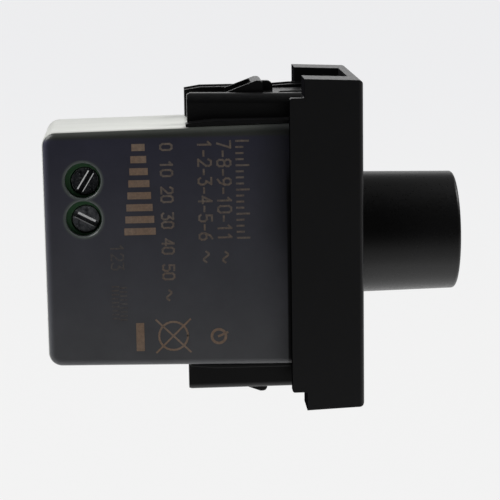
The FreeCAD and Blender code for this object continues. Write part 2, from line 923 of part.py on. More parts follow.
def make_terminal_screw(name, z, angle):
    """Built about its own Y axis, then placed with its slot turned in the XZ plane."""
    body = new_body(name)
    head_end = ZERO - d.head_height
    tip = bar_top - d.screw_tip_gap - head_under
    profile = [
        (ZERO, head_end),
        (d.head_radius, head_end),
        (d.head_radius, ZERO),
        (d.screw_radius, ZERO),
        (d.screw_radius, tip),
        (ZERO, tip),
    ]
    revolve(body, "XY_Plane", "Y_Axis", profile)
    reach = d.head_radius * 1.2
    drive = rectangle((-reach, reach), (-d.drive_width / 2, d.drive_width / 2))
    pocket(body, "XZ_Plane", (head_end, head_end + d.drive_depth), drive)
    body.Placement = Placement(Vector(), Rotation(Vector(0, -1, 0), angle.value))
    place(body, screw_x, head_under, z)


def make_clamp_cage(name, z):
    body = new_body(name)
    half_length = d.cage_length / 2
    half_width = d.cage_width / 2
    ring = rectangle((screw_x - half_length, screw_x + half_length),
                     (z - half_width, z + half_width))
    pad(body, "XZ_Plane", (cage_top, cage_bottom), ring)
    window_half = half_width - d.cage_wall
    window = rectangle((cage_nut_under, cage_base_top), (z - window_half, z + window_half))
    reach = half_length + d.cage_wall
    pocket(body, "YZ_Plane", (screw_x - reach, screw_x + reach), window)
    thread = (screw_x, z, d.screw_radius + d.running_gap)
    pocket(body, "XZ_Plane", (cage_top, cage_nut_under), thread)


def make_contact_bar(name, z):
    half = d.bar_width / 2
    rear = screw_x - d.cage_length / 2
    flat = box(name + "_flat", (rear, leg_front()), (bar_top, bar_under), (z - half, z + half))
    leg = box(name + "_leg", (leg_rear(), leg_front()),
              (bar_top, board_back + d.pin_reach), (z - half, z + half))
    fused(name, [flat, leg])


# Boards

def make_main_board():
    body = new_body("main_board")
    inset = d.body_wall + d.board_gap
    rear = board_rear
    low_cut, high_cut = ZERO - board_cut_half, board_cut_half
    front_half = body_edge(board_front, 1, inset)
    rear_half = body_edge(rear, 1, inset)
    outline = [
        (rear, -rear_half),
        (board_front, -front_half),
        (board_front, low_cut),
        (board_cut_rear, low_cut),
        (board_cut_rear, high_cut),
        (board_front, high_cut),
        (board_front, front_half),
        (rear, rear_half),
    ]
    pad(body, "XZ_Plane", (d.board_level, board_back), outline)
    gap = d.running_gap
    half = d.bar_width / 2 + gap
    slots = [
        rectangle((leg_rear() - gap, leg_front() + gap), (z - half, z + half))
        for z in poles.values()
    ]
    pocket(body, "XZ_Plane", (d.board_level, board_back), *slots)
    drill = d.wire_radius + gap * 2
    pins = [(x, z, drill) for x, z in lead_spots()]
    pocket(body, "XZ_Plane", (d.board_level, board_back), *pins)


def lead_spots():
    """Where round leads and square pins pass through the main board."""
    return triac_lead_spots() + header_pin_spots() + fuse_lead_spots() + wire_part_spots()


def make_control_board():
    body = new_body("control_board")
    half_height = board_cut_half - d.board_clearance
    near = cover_inside + d.control_board_gap
    far = shell_floor - d.control_board_gap
    pad(body, "YZ_Plane", (control_rear, switch_rear),
        rectangle((near, far), (-half_height, half_height)))
    gap = d.running_gap
    half_width = d.terminal_width / 2 + gap
    tabs = [
        rectangle((d.terminal_level - half_width, d.terminal_level + half_width),
                  (d.terminal_pitch * step - half_width, d.terminal_pitch * step + half_width))
        for step in (-1, 0, 1)
    ]
    blade_half = d.contact_width / 2 + gap
    for side in SIDES:
        level = switch_contact_level() * side
        reach = d.contact_thickness / 2 + gap
        tabs.append(rectangle((-blade_half, blade_half), (level - reach, level + reach)))
    pocket(body, "YZ_Plane", (control_rear, switch_rear), *tabs)
    pins = [(header_pin_level(), z, d.wire_radius + gap * 2) for z in header_pins()]
    pocket(body, "YZ_Plane", (control_rear, switch_rear), *pins)


# Pin header between the two boards

def header_pins():
    high = d.header_low + d.header_pitch * 3.5
    return [high - d.header_pitch * step for step in range(4)]


def header_pin_level():
    return d.board_level - d.header_height / 2


def header_pin_place():
    return control_rear - d.header_depth / 2


def header_pin_spots():
    return [(header_pin_place(), z) for z in header_pins()]


def make_board_header():
    rear = control_rear - d.header_depth
    high = d.header_low + d.header_pitch * 4
    block = box("header_block", (rear, control_rear),
                (d.board_level - d.header_height, d.board_level), (d.header_low, high))
    pieces = [block]
    for index, z in enumerate(header_pins(), start=1):
        pieces.append(rod(f"header_across_{index}", "x", (header_pin_place(), switch_rear),
                          d.wire_radius, (header_pin_level(), z)))
        pieces.append(rod(f"header_down_{index}", "y",
                          (header_pin_level(), board_back + d.pin_reach),
                          d.wire_radius, (header_pin_place(), z)))
    fused("board_header", pieces)


# Rotary control: everything here is turned about the X axis

def make_threaded_bush():
    body = new_body("threaded_bush")
    bore = d.shaft_radius + d.running_gap
    recess = flange_rear + d.collar_thickness + d.running_gap
    collar_room = d.collar_radius + d.cage_gap
    profile = [
        (flange_rear, collar_room),
        (flange_rear, d.can_radius),
        (d.panel_place, d.can_radius),
        (d.panel_place, d.bush_radius),
        (panel_front + d.bush_reach, d.bush_radius),
        (panel_front + d.bush_reach, bore),
        (recess, bore),
        (recess, collar_room),
    ]
    revolve(body, "XZ_Plane", "X_Axis", profile)


def make_bush_fasteners():
    washer_front = panel_front + d.washer_thickness
    hole = d.bush_radius + d.running_gap
    plate = rod("washer_plate", "x", (panel_front, washer_front), d.washer_radius)
    cut("bush_washer", plate, [rod("washer_hole", "x", (panel_front, washer_front), hole)])
    blank = doc.addObject("Part::Prism", "nut_blank")
    blank.Polygon = 6
    bind(blank, "Circumradius", d.nut_across_corners / 2)
    bind(blank, "Height", d.nut_thickness)
    blank.Placement = Placement(Vector(), TURN_FROM_Z["x"])
    place(blank, washer_front)
    nut_hole = rod("nut_hole", "x", (washer_front, washer_front + d.nut_thickness), hole)
    cut("bush_nut", blank, [nut_hole])


def make_control_shaft(knob_inside):
    body = new_body("control_shaft")
    front = knob_inside - d.shaft_end_gap * 2
    collar_front = flange_rear + d.collar_thickness
    tail_end = can_rear - d.switch_wall / 2
    profile = [
        (tail_end, ZERO),
        (tail_end, d.tail_radius),
        (flange_rear, d.tail_radius),
        (flange_rear, d.collar_radius),
        (collar_front, d.collar_radius),
        (collar_front, d.shaft_radius),
        (front, d.shaft_radius),
        (front, ZERO),
    ]
    revolve(body, "XZ_Plane", "X_Axis", profile)
    across = d.shaft_radius * 1.2
    flat = rectangle((-across, across), (d.shaft_flat, d.shaft_radius * 1.2))
    pocket(body, "YZ_Plane", (front - d.shaft_flat_length, front), flat)
    tail_flat = rectangle((-across, across), (d.tail_flat, d.tail_radius * 1.2))
    pocket(body, "YZ_Plane", (tail_end, flange_rear - d.running_gap * 4), tail_flat)


def rotor_front():
    return flange_rear - d.rotor_place


def track_front():
    return flange_rear - d.track_place


def make_pot_can():
    body = new_body("pot_can")
    hole = d.tail_radius + d.cage_gap * 2
    inner = d.can_radius - d.can_wall
    floor = can_rear + d.can_wall
    profile = [
        (can_rear, hole),
        (can_rear, d.can_radius),
        (flange_rear, d.can_radius),
        (flange_rear, inner),
        (floor, inner),
        (floor, hole),
    ]
    revolve(body, "XZ_Plane", "X_Axis", profile)
    half = d.terminal_pitch + d.terminal_width
    window = rectangle((d.terminal_level - d.terminal_width, d.can_radius),
                       (-half, half))
    pocket(body, "YZ_Plane", (can_rear, floor), window)


def make_pot_track():
    body = new_body("pot_track")
    hole = d.tail_radius + d.cage_gap * 2
    rear = track_front() - d.track_thickness
    profile = [
        (rear, hole),
        (rear, d.track_radius),
        (track_front(), d.track_radius),
        (track_front(), hole),
    ]
    revolve(body, "XZ_Plane", "X_Axis", profile)
    feet_radius = d.wiper_inner_radius - d.wiper_gap
    feet = [(feet_radius * y, feet_radius * z, d.wire_radius * 2) for y in SIDES for z in SIDES]
    pad(body, "YZ_Plane", (can_rear + d.can_wall, rear + d.track_thickness / 2), *feet)


def make_pot_rotor():
    body = new_body("pot_rotor")
    hole = d.tail_radius + d.running_gap
    disc_rear = rotor_front() - d.rotor_thickness
    hub_rear = track_front() + d.wiper_gap
    profile = [
        (hub_rear, hole),
        (hub_rear, d.rotor_hub_radius),
        (disc_rear, d.rotor_hub_radius),
        (disc_rear, d.rotor_radius),
        (rotor_front(), d.rotor_radius),
        (rotor_front(), hole),
    ]
    revolve(body, "XZ_Plane", "X_Axis", profile)
    key_half = d.tail_radius * 0.6
    key = rectangle((-key_half, key_half),
                    (d.tail_flat + d.running_gap * 2, d.rotor_hub_radius * 0.8))
    pad(body, "YZ_Plane", (hub_rear, rotor_front()), key)


def make_wiper():
    disc_rear = rotor_front() - d.rotor_thickness
    ring_rear = disc_rear - d.wiper_thickness
    plate = rod("wiper_plate", "x", (ring_rear, disc_rear), d.wiper_outer_radius)
    ring = cut("wiper_ring", plate,
               [rod("wiper_hole", "x", (ring_rear, disc_rear), d.wiper_inner_radius)])
    middle = (d.wiper_inner_radius + d.wiper_outer_radius) / 2
    contacts = [
        rod(f"wiper_contact_{index}", "x",
            (track_front() + d.wiper_gap, disc_rear), d.wire_radius * 2, (ZERO, middle * side))
        for index, side in enumerate(SIDES, start=1)
    ]
    fused("wiper", [ring] + contacts)


def make_pot_terminals():
    track_rear = track_front() - d.track_thickness
    half = d.terminal_width / 2
    pins = []
    for step in (-1, 0, 1):
        middle = d.terminal_pitch * step
        pins.append(box(f"pot_pin_{step + 2}", (control_rear - d.pin_reach, track_rear),
                        (d.terminal_level - half, d.terminal_level + half),
                        (middle - half, middle + half)))
    group("pot_terminals", pins)


# Push switch behind the rotary control

def plunger_flange_front():
    return can_rear - d.switch_wall - d.contact_gap


def plunger_flange_rear():
    return plunger_flange_front() - d.plunger_flange


def switch_contact_level():
    return d.switch_height / 2 - d.switch_wall - d.contact_thickness * 1.5


def make_switch_housing():
    body = new_body("switch_housing")
    half_width, half_height = d.switch_width / 2, d.switch_height / 2
    wall = d.switch_wall
    pad(body, "YZ_Plane", (switch_rear, can_rear),
        rectangle((-half_width, half_width), (-half_height, half_height)))
    plane_end = half_width - wall
    room = rectangle((switch_rear + wall, can_rear - wall), (wall - half_height, half_height - wall))
    pocket(body, "XZ_Plane", (-plane_end, plane_end), room)
    mouth = (ZERO, ZERO, d.tail_radius + d.cage_gap)
    pocket(body, "YZ_Plane", (can_rear - wall * 1.5, can_rear), mouth)
    reach = d.contact_thickness / 2 + d.running_gap
    blade_half = d.contact_width / 2 + d.running_gap
    slots = []
    for side in SIDES:
        level = switch_contact_level() * side
        slots.append(rectangle((-blade_half, blade_half), (level - reach, level + reach)))
    pocket(body, "YZ_Plane", (switch_rear, switch_rear + wall), *slots)


def make_switch_plunger():
    body = new_body("switch_plunger")
    stem_end = plunger_flange_rear() - d.plunger_stem
    front = can_rear - d.switch_wall / 2 - d.plunger_gap
    profile = [
        (stem_end, ZERO),
        (stem_end, d.plunger_stem_radius),
        (plunger_flange_rear(), d.plunger_stem_radius),
        (plunger_flange_rear(), d.plunger_flange_radius),
        (plunger_flange_front(), d.plunger_flange_radius),
        (plunger_flange_front(), d.plunger_radius),
        (front, d.plunger_radius),
        (front, ZERO),
    ]
    revolve(body, "XZ_Plane", "X_Axis", profile)


def make_contact_bridge():
    rear = plunger_flange_rear() - d.bridge_thickness
    half_width = d.bridge_width / 2
    reach = switch_contact_level() + d.contact_thickness
    strip = box("bridge_strip", (rear, plunger_flange_rear()),
                (-half_width, half_width), (-reach, reach))
    hole = rod("bridge_hole", "x", (rear, plunger_flange_rear()), d.plunger_stem_radius)
    collar = rod("bridge_collar", "x", (rear, plunger_flange_rear()),
                 d.plunger_stem_radius + d.bridge_thickness)
    eye = cut("bridge_eye", fused("bridge_blank", [strip, collar]), [hole])
    eye.Label = "contact_bridge"


def make_switch_contacts():
    front = plunger_flange_rear() - d.bridge_thickness - d.push_travel - d.contact_gap
    half = d.contact_width / 2
    blades = []
    for index, side in enumerate(SIDES, start=1):
        middle = switch_contact_level() * side
        reach = d.contact_thickness / 2
        blades.append(box(f"switch_blade_{index}", (control_rear - d.pin_reach, front),
                          (-half, half), (middle - reach, middle + reach)))
    group("switch_contacts", blades)


def arc_towards(start, corner, end):
    """The arc that leaves start towards a corner and comes to end away from it."""
    middle = (start + end) / 2
    half = (end - start).Length / 2
    rise = (corner - middle).Length
    height = half * math.tan(math.atan2(rise, half) / 2)
    return Part.Arc(start, middle + (corner - middle) * (height / rise), end).toShape()


def arc_pair(start, start_way, end, end_way):
    """Two tangent arcs from one point and direction to another."""
    span = end - start
    along = span.dot(start_way + end_way)
    turn = 2 * (1 - start_way.dot(end_way))
    reach = (math.sqrt(along ** 2 + turn * span.dot(span)) - along) / turn
    first_corner = start + start_way * reach
    second_corner = end - end_way * reach
    middle = (first_corner + second_corner) / 2
    return [arc_towards(start, first_corner, middle), arc_towards(middle, second_corner, end)]


def make_return_spring():
    """An open coil round the plunger's stem, from the switch's rear wall to the bridge."""
    seat_gap = d.spring_wire + d.running_gap
    rear = (switch_rear + d.switch_wall + seat_gap).value
    front = (plunger_flange_rear() - d.bridge_thickness - seat_gap).value
    radius = d.spring_radius.value
    whole = d.spring_turns.value * 2 * math.pi
    steps = math.ceil(d.spring_turns.value * 4)
    climb = (front - rear) / whole

    def spot(angle):
        return Vector(rear + climb * angle, radius * math.cos(angle), radius * math.sin(angle))

    def way(angle):
        step = Vector(climb, -radius * math.sin(angle), radius * math.cos(angle))
        return step.normalize()

    arcs = []
    for index in range(steps):
        low, high = whole * index / steps, whole * (index + 1) / steps
        arcs += arc_pair(spot(low), way(low), spot(high), way(high))
    ring = Part.Wire(Part.Circle(spot(0), way(0), d.spring_wire.value).toShape())
    coil = doc.addObject("Part::Feature", "return_spring")
    coil.Shape = Part.Wire(arcs).makePipeShell([ring], True, False)


# Power parts on the main board

def sink_rear():
    return block_rear + d.body_corner_round


def sink_low():
    # The main board reaches as far down as up, and the sink stands on its lower edge
    return ZERO - body_edge(block_rear, 1, d.body_wall + d.board_gap + d.sink_gap)


def make_heat_sink():
    front = sink_rear() + d.sink_length
    top = d.board_level - d.sink_thickness
    flat = box("sink_flat", (sink_rear(), front), (top, d.board_level),
               (sink_low(), sink_low() + d.sink_height))
    fin = box("sink_fin_blank", (sink_rear(), front), (d.board_level - d.sink_fin, d.board_level),
              (sink_low(), sink_low() + d.sink_thickness))
    hole = rod("sink_hole", "y", (top, d.board_level), d.sink_screw_radius + d.running_gap,
               (triac_middle(), triac_hole_z()))
    cut("heat_sink", fused("sink_blank", [flat, fin]), [hole])


def triac_middle():
    return sink_rear() + d.sink_length - d.triac_width / 2 - d.part_gap


def triac_low():
    return sink_low() + d.triac_inset


def triac_hole_z():
    return triac_low() + d.triac_hole_inset


def triac_lead_z():
    return sink_low() + d.sink_height + d.part_gap * 2


def triac_lead_spots():
    return [(triac_middle() + d.triac_pitch * step, triac_lead_z()) for step in (-1, 0, 1)]


def make_triac():
    top = d.board_level - d.sink_thickness
    near = top - d.triac_thickness
    half = d.triac_width / 2
    case = box("triac_case", (triac_middle() - half, triac_middle() + half), (near, top),
               (triac_low(), triac_low() + d.triac_height))
    hole = rod("triac_hole", "y", (near, top), d.sink_screw_radius + d.running_gap,
               (triac_middle(), triac_hole_z()))
    pieces = [cut("triac_block", case, [hole])]
    level = top - d.triac_thickness / 2
    for index, (x, z) in enumerate(triac_lead_spots(), start=1):
        pieces.append(rod(f"triac_out_{index}", "z", (triac_low() + d.triac_height, z),
                          d.wire_radius, (x, level)))
        pieces.append(rod(f"triac_down_{index}", "y", (level, board_back + d.pin_reach),
                          d.wire_radius, (x, z)))
    fused("triac", pieces)


def make_heat_sink_screw():
    near = d.board_level - d.sink_thickness - d.triac_thickness
    spot = (triac_middle(), triac_hole_z())
    head = rod("sink_screw_head_blank", "y", (near - d.sink_screw_head_height, near),
               d.sink_screw_head, spot)
    shank = rod("sink_screw_shank", "y", (near, d.board_level - d.running_gap),
                d.sink_screw_radius, spot)
    reach = d.sink_screw_head * 1.1
    half = d.drive_width / 2
    slot = box("sink_screw_slot",
               (spot[0] - reach, spot[0] + reach),
               (near - d.sink_screw_head_height, near - d.sink_screw_head_height / 2),
               (spot[1] - half, spot[1] + half))
    cut("heat_sink_screw", fused("sink_screw_blank", [head, shank]), [slot])


def choke_spot():
    return (d.board_level - d.choke_radius - d.running_gap,
            board_cut_half + d.part_gap + d.choke_radius)


def choke_front():
    return board_front - d.choke_inset


def make_choke():
    rear = choke_front() - d.choke_length
    spot = choke_spot()
    core = rod("choke_bar", "x", (rear, choke_front()), d.choke_core_radius, spot)
    back = rod("choke_back_flange", "x", (rear, rear + d.choke_flange), d.choke_radius, spot)
    front = rod("choke_front_flange", "x", (choke_front() - d.choke_flange, choke_front()),
                d.choke_radius, spot)
    fused("choke_core", [core, back, front])
    ends = (rear + d.choke_flange, choke_front() - d.choke_flange)
    winding = rod("winding_blank", "x", ends, d.choke_radius - d.running_gap * 4, spot)
    cut("choke_winding", winding, [rod("winding_hole", "x", ends, d.choke_core_radius, spot)])


def make_film_capacitor():
    front = choke_front()
    high = ZERO - board_cut_half - d.part_gap
    case = box("film_case", (front - d.film_length, front),
               (d.board_level - d.film_height, d.board_level), (high - d.film_width, high))
    rounded = doc.addObject("Part::Fillet", "film_capacitor")
    rounded.Base = case
    doc.recompute()
    top = (d.board_level - d.film_height).value
    rounded.Edges = [
        (index, d.film_round.value, d.film_round.value)
        for index, edge in enumerate(case.Shape.Edges, start=1)
        if lies_at(edge, "y", top)
    ]


def make_timing_capacitor():
    rear = choke_front() - d.choke_length - d.part_gap
    low = board_cut_half + d.part_gap
    box("timing_capacitor", (rear - d.timing_length, rear),
        (d.board_level - d.timing_height, d.board_level), (low, low + d.timing_width))


def fuse_spot():
    return (block_front + d.part_gap + d.fuse_radius,
            d.block_centre + d.pole_pitch / 2 + d.part_gap + d.fuse_radius / 2)


def fuse_lead_spots():
    x, z = fuse_spot()
    return [(x - d.resistor_radius * side, z) for side in SIDES]


def make_fuse():
    x, z = fuse_spot()
    case = rod("fuse_case", "y", (d.board_level - d.fuse_height, d.board_level),
               d.fuse_radius, (x, z))
    leads = [
        rod(f"fuse_lead_{index}", "y", (d.board_level, board_back + d.pin_reach),
            d.wire_radius, spot)
        for index, spot in enumerate(fuse_lead_spots(), start=1)
    ]
    fused("fuse", [case] + leads)


def wire_parts():
    """Parts with a lead at each end, lying along Z: name, place, radius, length."""
    first = block_front + d.part_gap + d.resistor_radius
    return [
        ("resistor_1", first, d.resistor_radius, d.resistor_length),
        ("resistor_2", first + d.resistor_pitch, d.resistor_radius, d.resistor_length),
        ("diac", first + d.resistor_pitch * 2, d.diac_radius, d.diac_length),
    ]


def wire_part_ends():
    high = fuse_spot()[1] - d.fuse_radius - d.part_gap
    return (high - d.resistor_span, high)


def wire_part_spots():
    return [(x, z) for _, x, _, _ in wire_parts() for z in wire_part_ends()]


def make_wire_part(name, x, radius, length):
    level = d.board_level - radius - d.running_gap
    low, high = wire_part_ends()
    middle = (low + high) / 2
    pieces = [
        rod(name + "_case", "z", (middle - length / 2, middle + length / 2), radius, (x, level)),
        rod(name + "_lead", "z", (low, high), d.wire_radius, (x, level)),
    ]
    for index, z in enumerate((low, high), start=1):
        pieces.append(rod(f"{name}_down_{index}", "y", (level, board_back + d.pin_reach),
                          d.wire_radius, (x, z)))
    return fused(name, pieces)


def make_wire_parts():
    made = [make_wire_part(*details) for details in wire_parts()]
    group("resistors", made[:2])


make_front_frame()
make_rear_carrier()
make_snap_tongue("snap_tongue_top", 1)
make_snap_tongue("snap_tongue_bottom", -1)
knob_inside = make_knob()
make_body_shell()
make_body_cover()
make_terminal_block()
make_terminal_screw("terminal_screw_1", poles["1"], d.drive_angle_top)
make_terminal_screw("terminal_screw_2", poles["2"], d.drive_angle_bottom)
for number, z in poles.items():
    make_clamp_cage("clamp_cage_" + number, z)
    make_contact_bar("contact_bar_" + number, z)
make_main_board()
make_control_board()
make_board_header()
make_threaded_bush()
make_bush_fasteners()
make_control_shaft(knob_inside)
make_pot_can()
make_pot_track()
make_pot_rotor()
make_wiper()
make_pot_terminals()
make_switch_housing()
make_switch_plunger()
make_contact_bridge()
make_switch_contacts()
make_return_spring()
make_heat_sink()
make_triac()
make_heat_sink_screw()
make_choke()
make_film_capacitor()
make_timing_capacitor()
make_fuse()
make_wire_parts()

NODES = [
    "front_frame", "rear_carrier", "snap_tongue_top", "snap_tongue_bottom", "knob",
    "body_shell", "body_cover", "terminal_block", "terminal_screw_1", "terminal_screw_2",
    "clamp_cage_1", "clamp_cage_2", "contact_bar_1", "contact_bar_2",
    "main_board", "control_board", "board_header",
    "threaded_bush", "bush_washer", "bush_nut", "control_shaft",
    "pot_can", "pot_track", "pot_rotor", "wiper", "pot_terminals",
    "switch_housing", "switch_plunger", "contact_bridge", "switch_contacts", "return_spring",
    "heat_sink", "triac", "heat_sink_screw", "choke_core", "choke_winding",
    "film_capacitor", "timing_capacitor", "fuse", "resistors", "diac",
]

doc.recompute()
for thing in doc.Objects:
    if "Invalid" in thing.State or "Error" in thing.State:
        raise RuntimeError(f"{thing.Label} failed: {thing.State}")

os.makedirs("parts", exist_ok=True)
for name in NODES:
    found = doc.getObjectsByLabel(name)
    if len(found) != 1:
        raise RuntimeError(f"{name}: {len(found)} objects have this label")
    shape = found[0].Shape
    if shape.isNull() or not shape.isValid() or not shape.Solids:
        raise RuntimeError(f"{name} has no sound shape")
    print(f"{name}: {len(shape.Solids)} solids, {shape.Volume:.1f} mm3")
for name in NODES:
    doc.getObjectsByLabel(name)[0].Shape.exportStep(f"parts/{name}.step")
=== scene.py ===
import math

import bpy
from mathutils import Matrix, Vector


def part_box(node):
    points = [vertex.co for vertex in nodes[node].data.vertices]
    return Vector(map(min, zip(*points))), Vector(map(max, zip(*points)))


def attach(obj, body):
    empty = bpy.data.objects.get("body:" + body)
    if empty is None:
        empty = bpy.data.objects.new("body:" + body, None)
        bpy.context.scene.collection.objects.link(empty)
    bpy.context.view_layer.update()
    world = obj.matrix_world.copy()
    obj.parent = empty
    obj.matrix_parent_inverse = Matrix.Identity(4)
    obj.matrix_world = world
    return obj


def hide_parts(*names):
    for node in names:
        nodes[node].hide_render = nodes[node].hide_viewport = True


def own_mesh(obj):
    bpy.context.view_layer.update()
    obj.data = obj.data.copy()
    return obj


MM = 0.001

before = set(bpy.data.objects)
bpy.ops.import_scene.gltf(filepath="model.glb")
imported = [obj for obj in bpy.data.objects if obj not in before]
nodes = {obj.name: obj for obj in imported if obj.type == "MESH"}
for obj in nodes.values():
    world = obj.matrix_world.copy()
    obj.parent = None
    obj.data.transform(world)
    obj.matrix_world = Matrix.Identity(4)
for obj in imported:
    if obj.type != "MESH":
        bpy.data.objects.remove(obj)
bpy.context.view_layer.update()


# Shader graphs

class Graph:
    """A material's or world's node tree, built with short calls."""

    def __init__(self, owner):
        owner.use_nodes = True
        self.tree = owner.node_tree
        self.tree.nodes.clear()

    def fill(self, socket, value):
        if isinstance(value, bpy.types.NodeSocket):
            self.tree.links.new(value, socket)
        else:
            socket.default_value = value

    def node(self, kind, values=None, **props):
        made = self.tree.nodes.new("ShaderNode" + kind)
        for name, value in props.items():
            setattr(made, name, value)
        for name, value in (values or {}).items():
            self.fill(made.inputs[name], value)
        return made

    def math(self, operation, *values):
        return self.node("Math", dict(enumerate(values)), operation=operation).outputs[0]

    def spread(self, value, low, high, to_low=0.0, to_high=1.0, smooth=False):
        ends = {"From Min": low, "From Max": high, "To Min": to_low, "To Max": to_high}
        made = self.node("MapRange", {"Value": value, **ends})
        if smooth:
            made.interpolation_type = "SMOOTHSTEP"
        return made.outputs["Result"]

    def across(self, place, span, to_low=0.0, to_high=1.0, smooth=False):
        """Spread a coordinate over a span in millimetres."""
        return self.spread(place, span[0] * MM, span[1] * MM, to_low, to_high, smooth)

    def blend(self, factor, first, second, how="MIX"):
        made = self.node("Mix", data_type="RGBA", blend_type=how)
        self.fill(made.inputs[0], factor)
        self.fill(made.inputs[6], first)
        self.fill(made.inputs[7], second)
        return made.outputs[2]

    def dim(self, colour, level):
        """The colour times a level."""
        grey = self.node("CombineColor", {0: level, 1: level, 2: level}).outputs[0]
        return self.blend(1.0, colour, grey, "MULTIPLY")

    def place(self, stretch=(1, 1, 1)):
        coordinates = self.node("TexCoord").outputs["Object"]
        made = self.node("Mapping", {"Vector": coordinates, "Scale": stretch})
        return made.outputs["Vector"]

    def axes(self, place):
        return self.node("SeparateXYZ", {0: place}).outputs

    def noise(self, vector, scale, detail=2.0, rough=0.5):
        values = {"Vector": vector, "Scale": scale, "Detail": detail, "Roughness": rough}
        return self.node("TexNoise", values).outputs["Fac"]

    def rounded(self, radius, samples):
        """The normal, as if each edge had this radius in millimetres."""
        return self.node("Bevel", {"Radius": radius * MM}, samples=samples).outputs["Normal"]

    def edge(self, rounded, turns, most, smooth=False):
        """From 0 on a face to most where the rounded normal turns away from it."""
        flat = self.node("NewGeometry").outputs["Normal"]
        turn = self.node("VectorMath", {0: rounded, 1: flat}, operation="DOT_PRODUCT").outputs["Value"]
        return self.spread(turn, *turns, 0.0, most, smooth)

    def relief(self, height, depth, strength, normal):
        values = {"Height": height, "Distance": depth * MM, "Strength": strength, "Normal": normal}
        return self.node("Bump", values).outputs["Normal"]

    def principled(self, tone, roughness, **values):
        named = {name.replace("_", " "): value for name, value in values.items()}
        sockets = {"Base Color": tone, "Roughness": roughness, **named}
        return self.node("BsdfPrincipled", sockets).outputs["BSDF"]

    def mixed(self, share, first, second):
        return self.node("MixShader", {0: share, 1: first, 2: second}).outputs[0]

    def finish(self, kind, shader):
        output = self.node("Output" + kind)
        self.tree.links.new(shader, output.inputs["Surface"])


def rgba(colour):
    return (*colour, 1.0)


def new_material(name):
    material = bpy.data.materials.new(name)
    return material, Graph(material)


# Moulded plastic

GRAIN_SCALE = 4200.0
GRAIN_SPREAD = (0.3, 0.7)
PATCH_SPREAD = (0.35, 0.65)
GRAIN_STRENGTH = 0.6
GRAIN_DEPTH = 0.012
EDGE_RADIUS = 0.12
EDGE_SAMPLES = 6
EDGE_TURNS = (0.98, 0.75)
WORN_GAIN = 2.2
WORN_LIFT = 0.02
ROUGHNESS_SPREAD = 0.06
PLAIN_GLOSS = 0.5


def moulded(name, colour, second, rough=0.5, grain=GRAIN_DEPTH, patch=90.0, wear=0.0, shade=None):
    """Moulded plastic: patches of a second tone, fine grain, and edges a little lighter.

    shade changes the tone and the gloss from place to place.
    """
    material, graph = new_material(name)
    where = graph.place()
    cloud = graph.spread(graph.noise(where, patch, 4.0, 0.6), *GRAIN_SPREAD)
    fine = graph.noise(where, GRAIN_SCALE)
    tone = graph.blend(cloud, rgba(colour), rgba(second))
    rounded = graph.rounded(EDGE_RADIUS, EDGE_SAMPLES)
    lighter = tuple(min(1.0, c * WORN_GAIN + WORN_LIFT) for c in colour)
    tone = graph.blend(graph.edge(rounded, EDGE_TURNS, wear), tone, rgba(lighter))
    gloss = PLAIN_GLOSS
    if shade:
        tone, gloss = shade(graph, graph.axes(where), tone)
    roughness = graph.spread(fine, *GRAIN_SPREAD, rough - ROUGHNESS_SPREAD, rough + ROUGHNESS_SPREAD)
    bump = graph.relief(fine, grain, GRAIN_STRENGTH, rounded)
    shader = graph.principled(tone, roughness, Normal=bump, Specular_IOR_Level=gloss)
    graph.finish("Material", shader)
    return material


EAR_REAR_X = (0.06, 0.02)
EAR_INNER_Z = (19.9, 20.1)
WALL_END_X = (-1.94, -1.98)
WALL_END_SHADE_TONE = (0.0016, 0.0016, 0.0018)


def shade_frame(graph, axes, tone):
    """The faces that look back into the wall box have no gloss, and the wall's rear end has painted shade.
    """
    high = graph.math("ABSOLUTE", axes["Z"])
    at_ear = graph.across(axes["X"], EAR_REAR_X)
    ear = graph.math("MULTIPLY", at_ear, graph.across(high, EAR_INNER_Z))
    # Painted shade: the wall's rear end, in the gap by the cover, is painted darker.
    shaded_wall_end = graph.across(axes["X"], WALL_END_X)
    tone = graph.blend(shaded_wall_end, tone, rgba(WALL_END_SHADE_TONE))
    rear = graph.math("MAXIMUM", ear, shaded_wall_end)
    return tone, graph.spread(rear, 0.0, 1.0, PLAIN_GLOSS, 0.0)


KNOB_SHADE_X = (9.5, 18.0)
KNOB_UNSHADED_TONE = (0.008, 0.008, 0.0085)


def shade_knob(graph, axes, tone):
    """Painted shade: darker near the frame, greyer towards the free end."""
    # Painted shade of the frame, fading out towards the knob's free end.
    clear_of_frame = graph.across(axes["X"], KNOB_SHADE_X, smooth=True)
    return graph.blend(clear_of_frame, tone, rgba(KNOB_UNSHADED_TONE)), PLAIN_GLOSS


SHELL_NEAR_Y = (4.0, -7.0)
SHELL_FRONT_X = (-34.0, -18.0)
SHELL_REAR_SHARE = 0.35
SHELL_LIT_TONE = (0.9, 0.91, 0.86)
STREAK_STRETCH = (0.05, 1, 1)
STREAK_SCALE = 900.0
STREAK_MOST = 0.16
STREAK_TONE = (0.5, 0.51, 0.48)


def shade_shell(graph, axes, tone):
    """Paler towards the near side and the front as painted light, with faint streaks along the body."""
    # Painted light: the shell is paler towards its near side and its front.
    near = graph.across(axes["Y"], SHELL_NEAR_Y)
    front = graph.across(axes["X"], SHELL_FRONT_X, SHELL_REAR_SHARE)
    tone = graph.blend(graph.math("MULTIPLY", near, front), tone, rgba(SHELL_LIT_TONE))
    streak = graph.noise(graph.place(STREAK_STRETCH), STREAK_SCALE, 3.0)
    share = graph.spread(streak, *PATCH_SPREAD, 0.0, STREAK_MOST)
    return graph.blend(share, tone, rgba(STREAK_TONE)), PLAIN_GLOSS


# Cover: spans of X, Y and Z in millimetres, each with the tone that it leads to

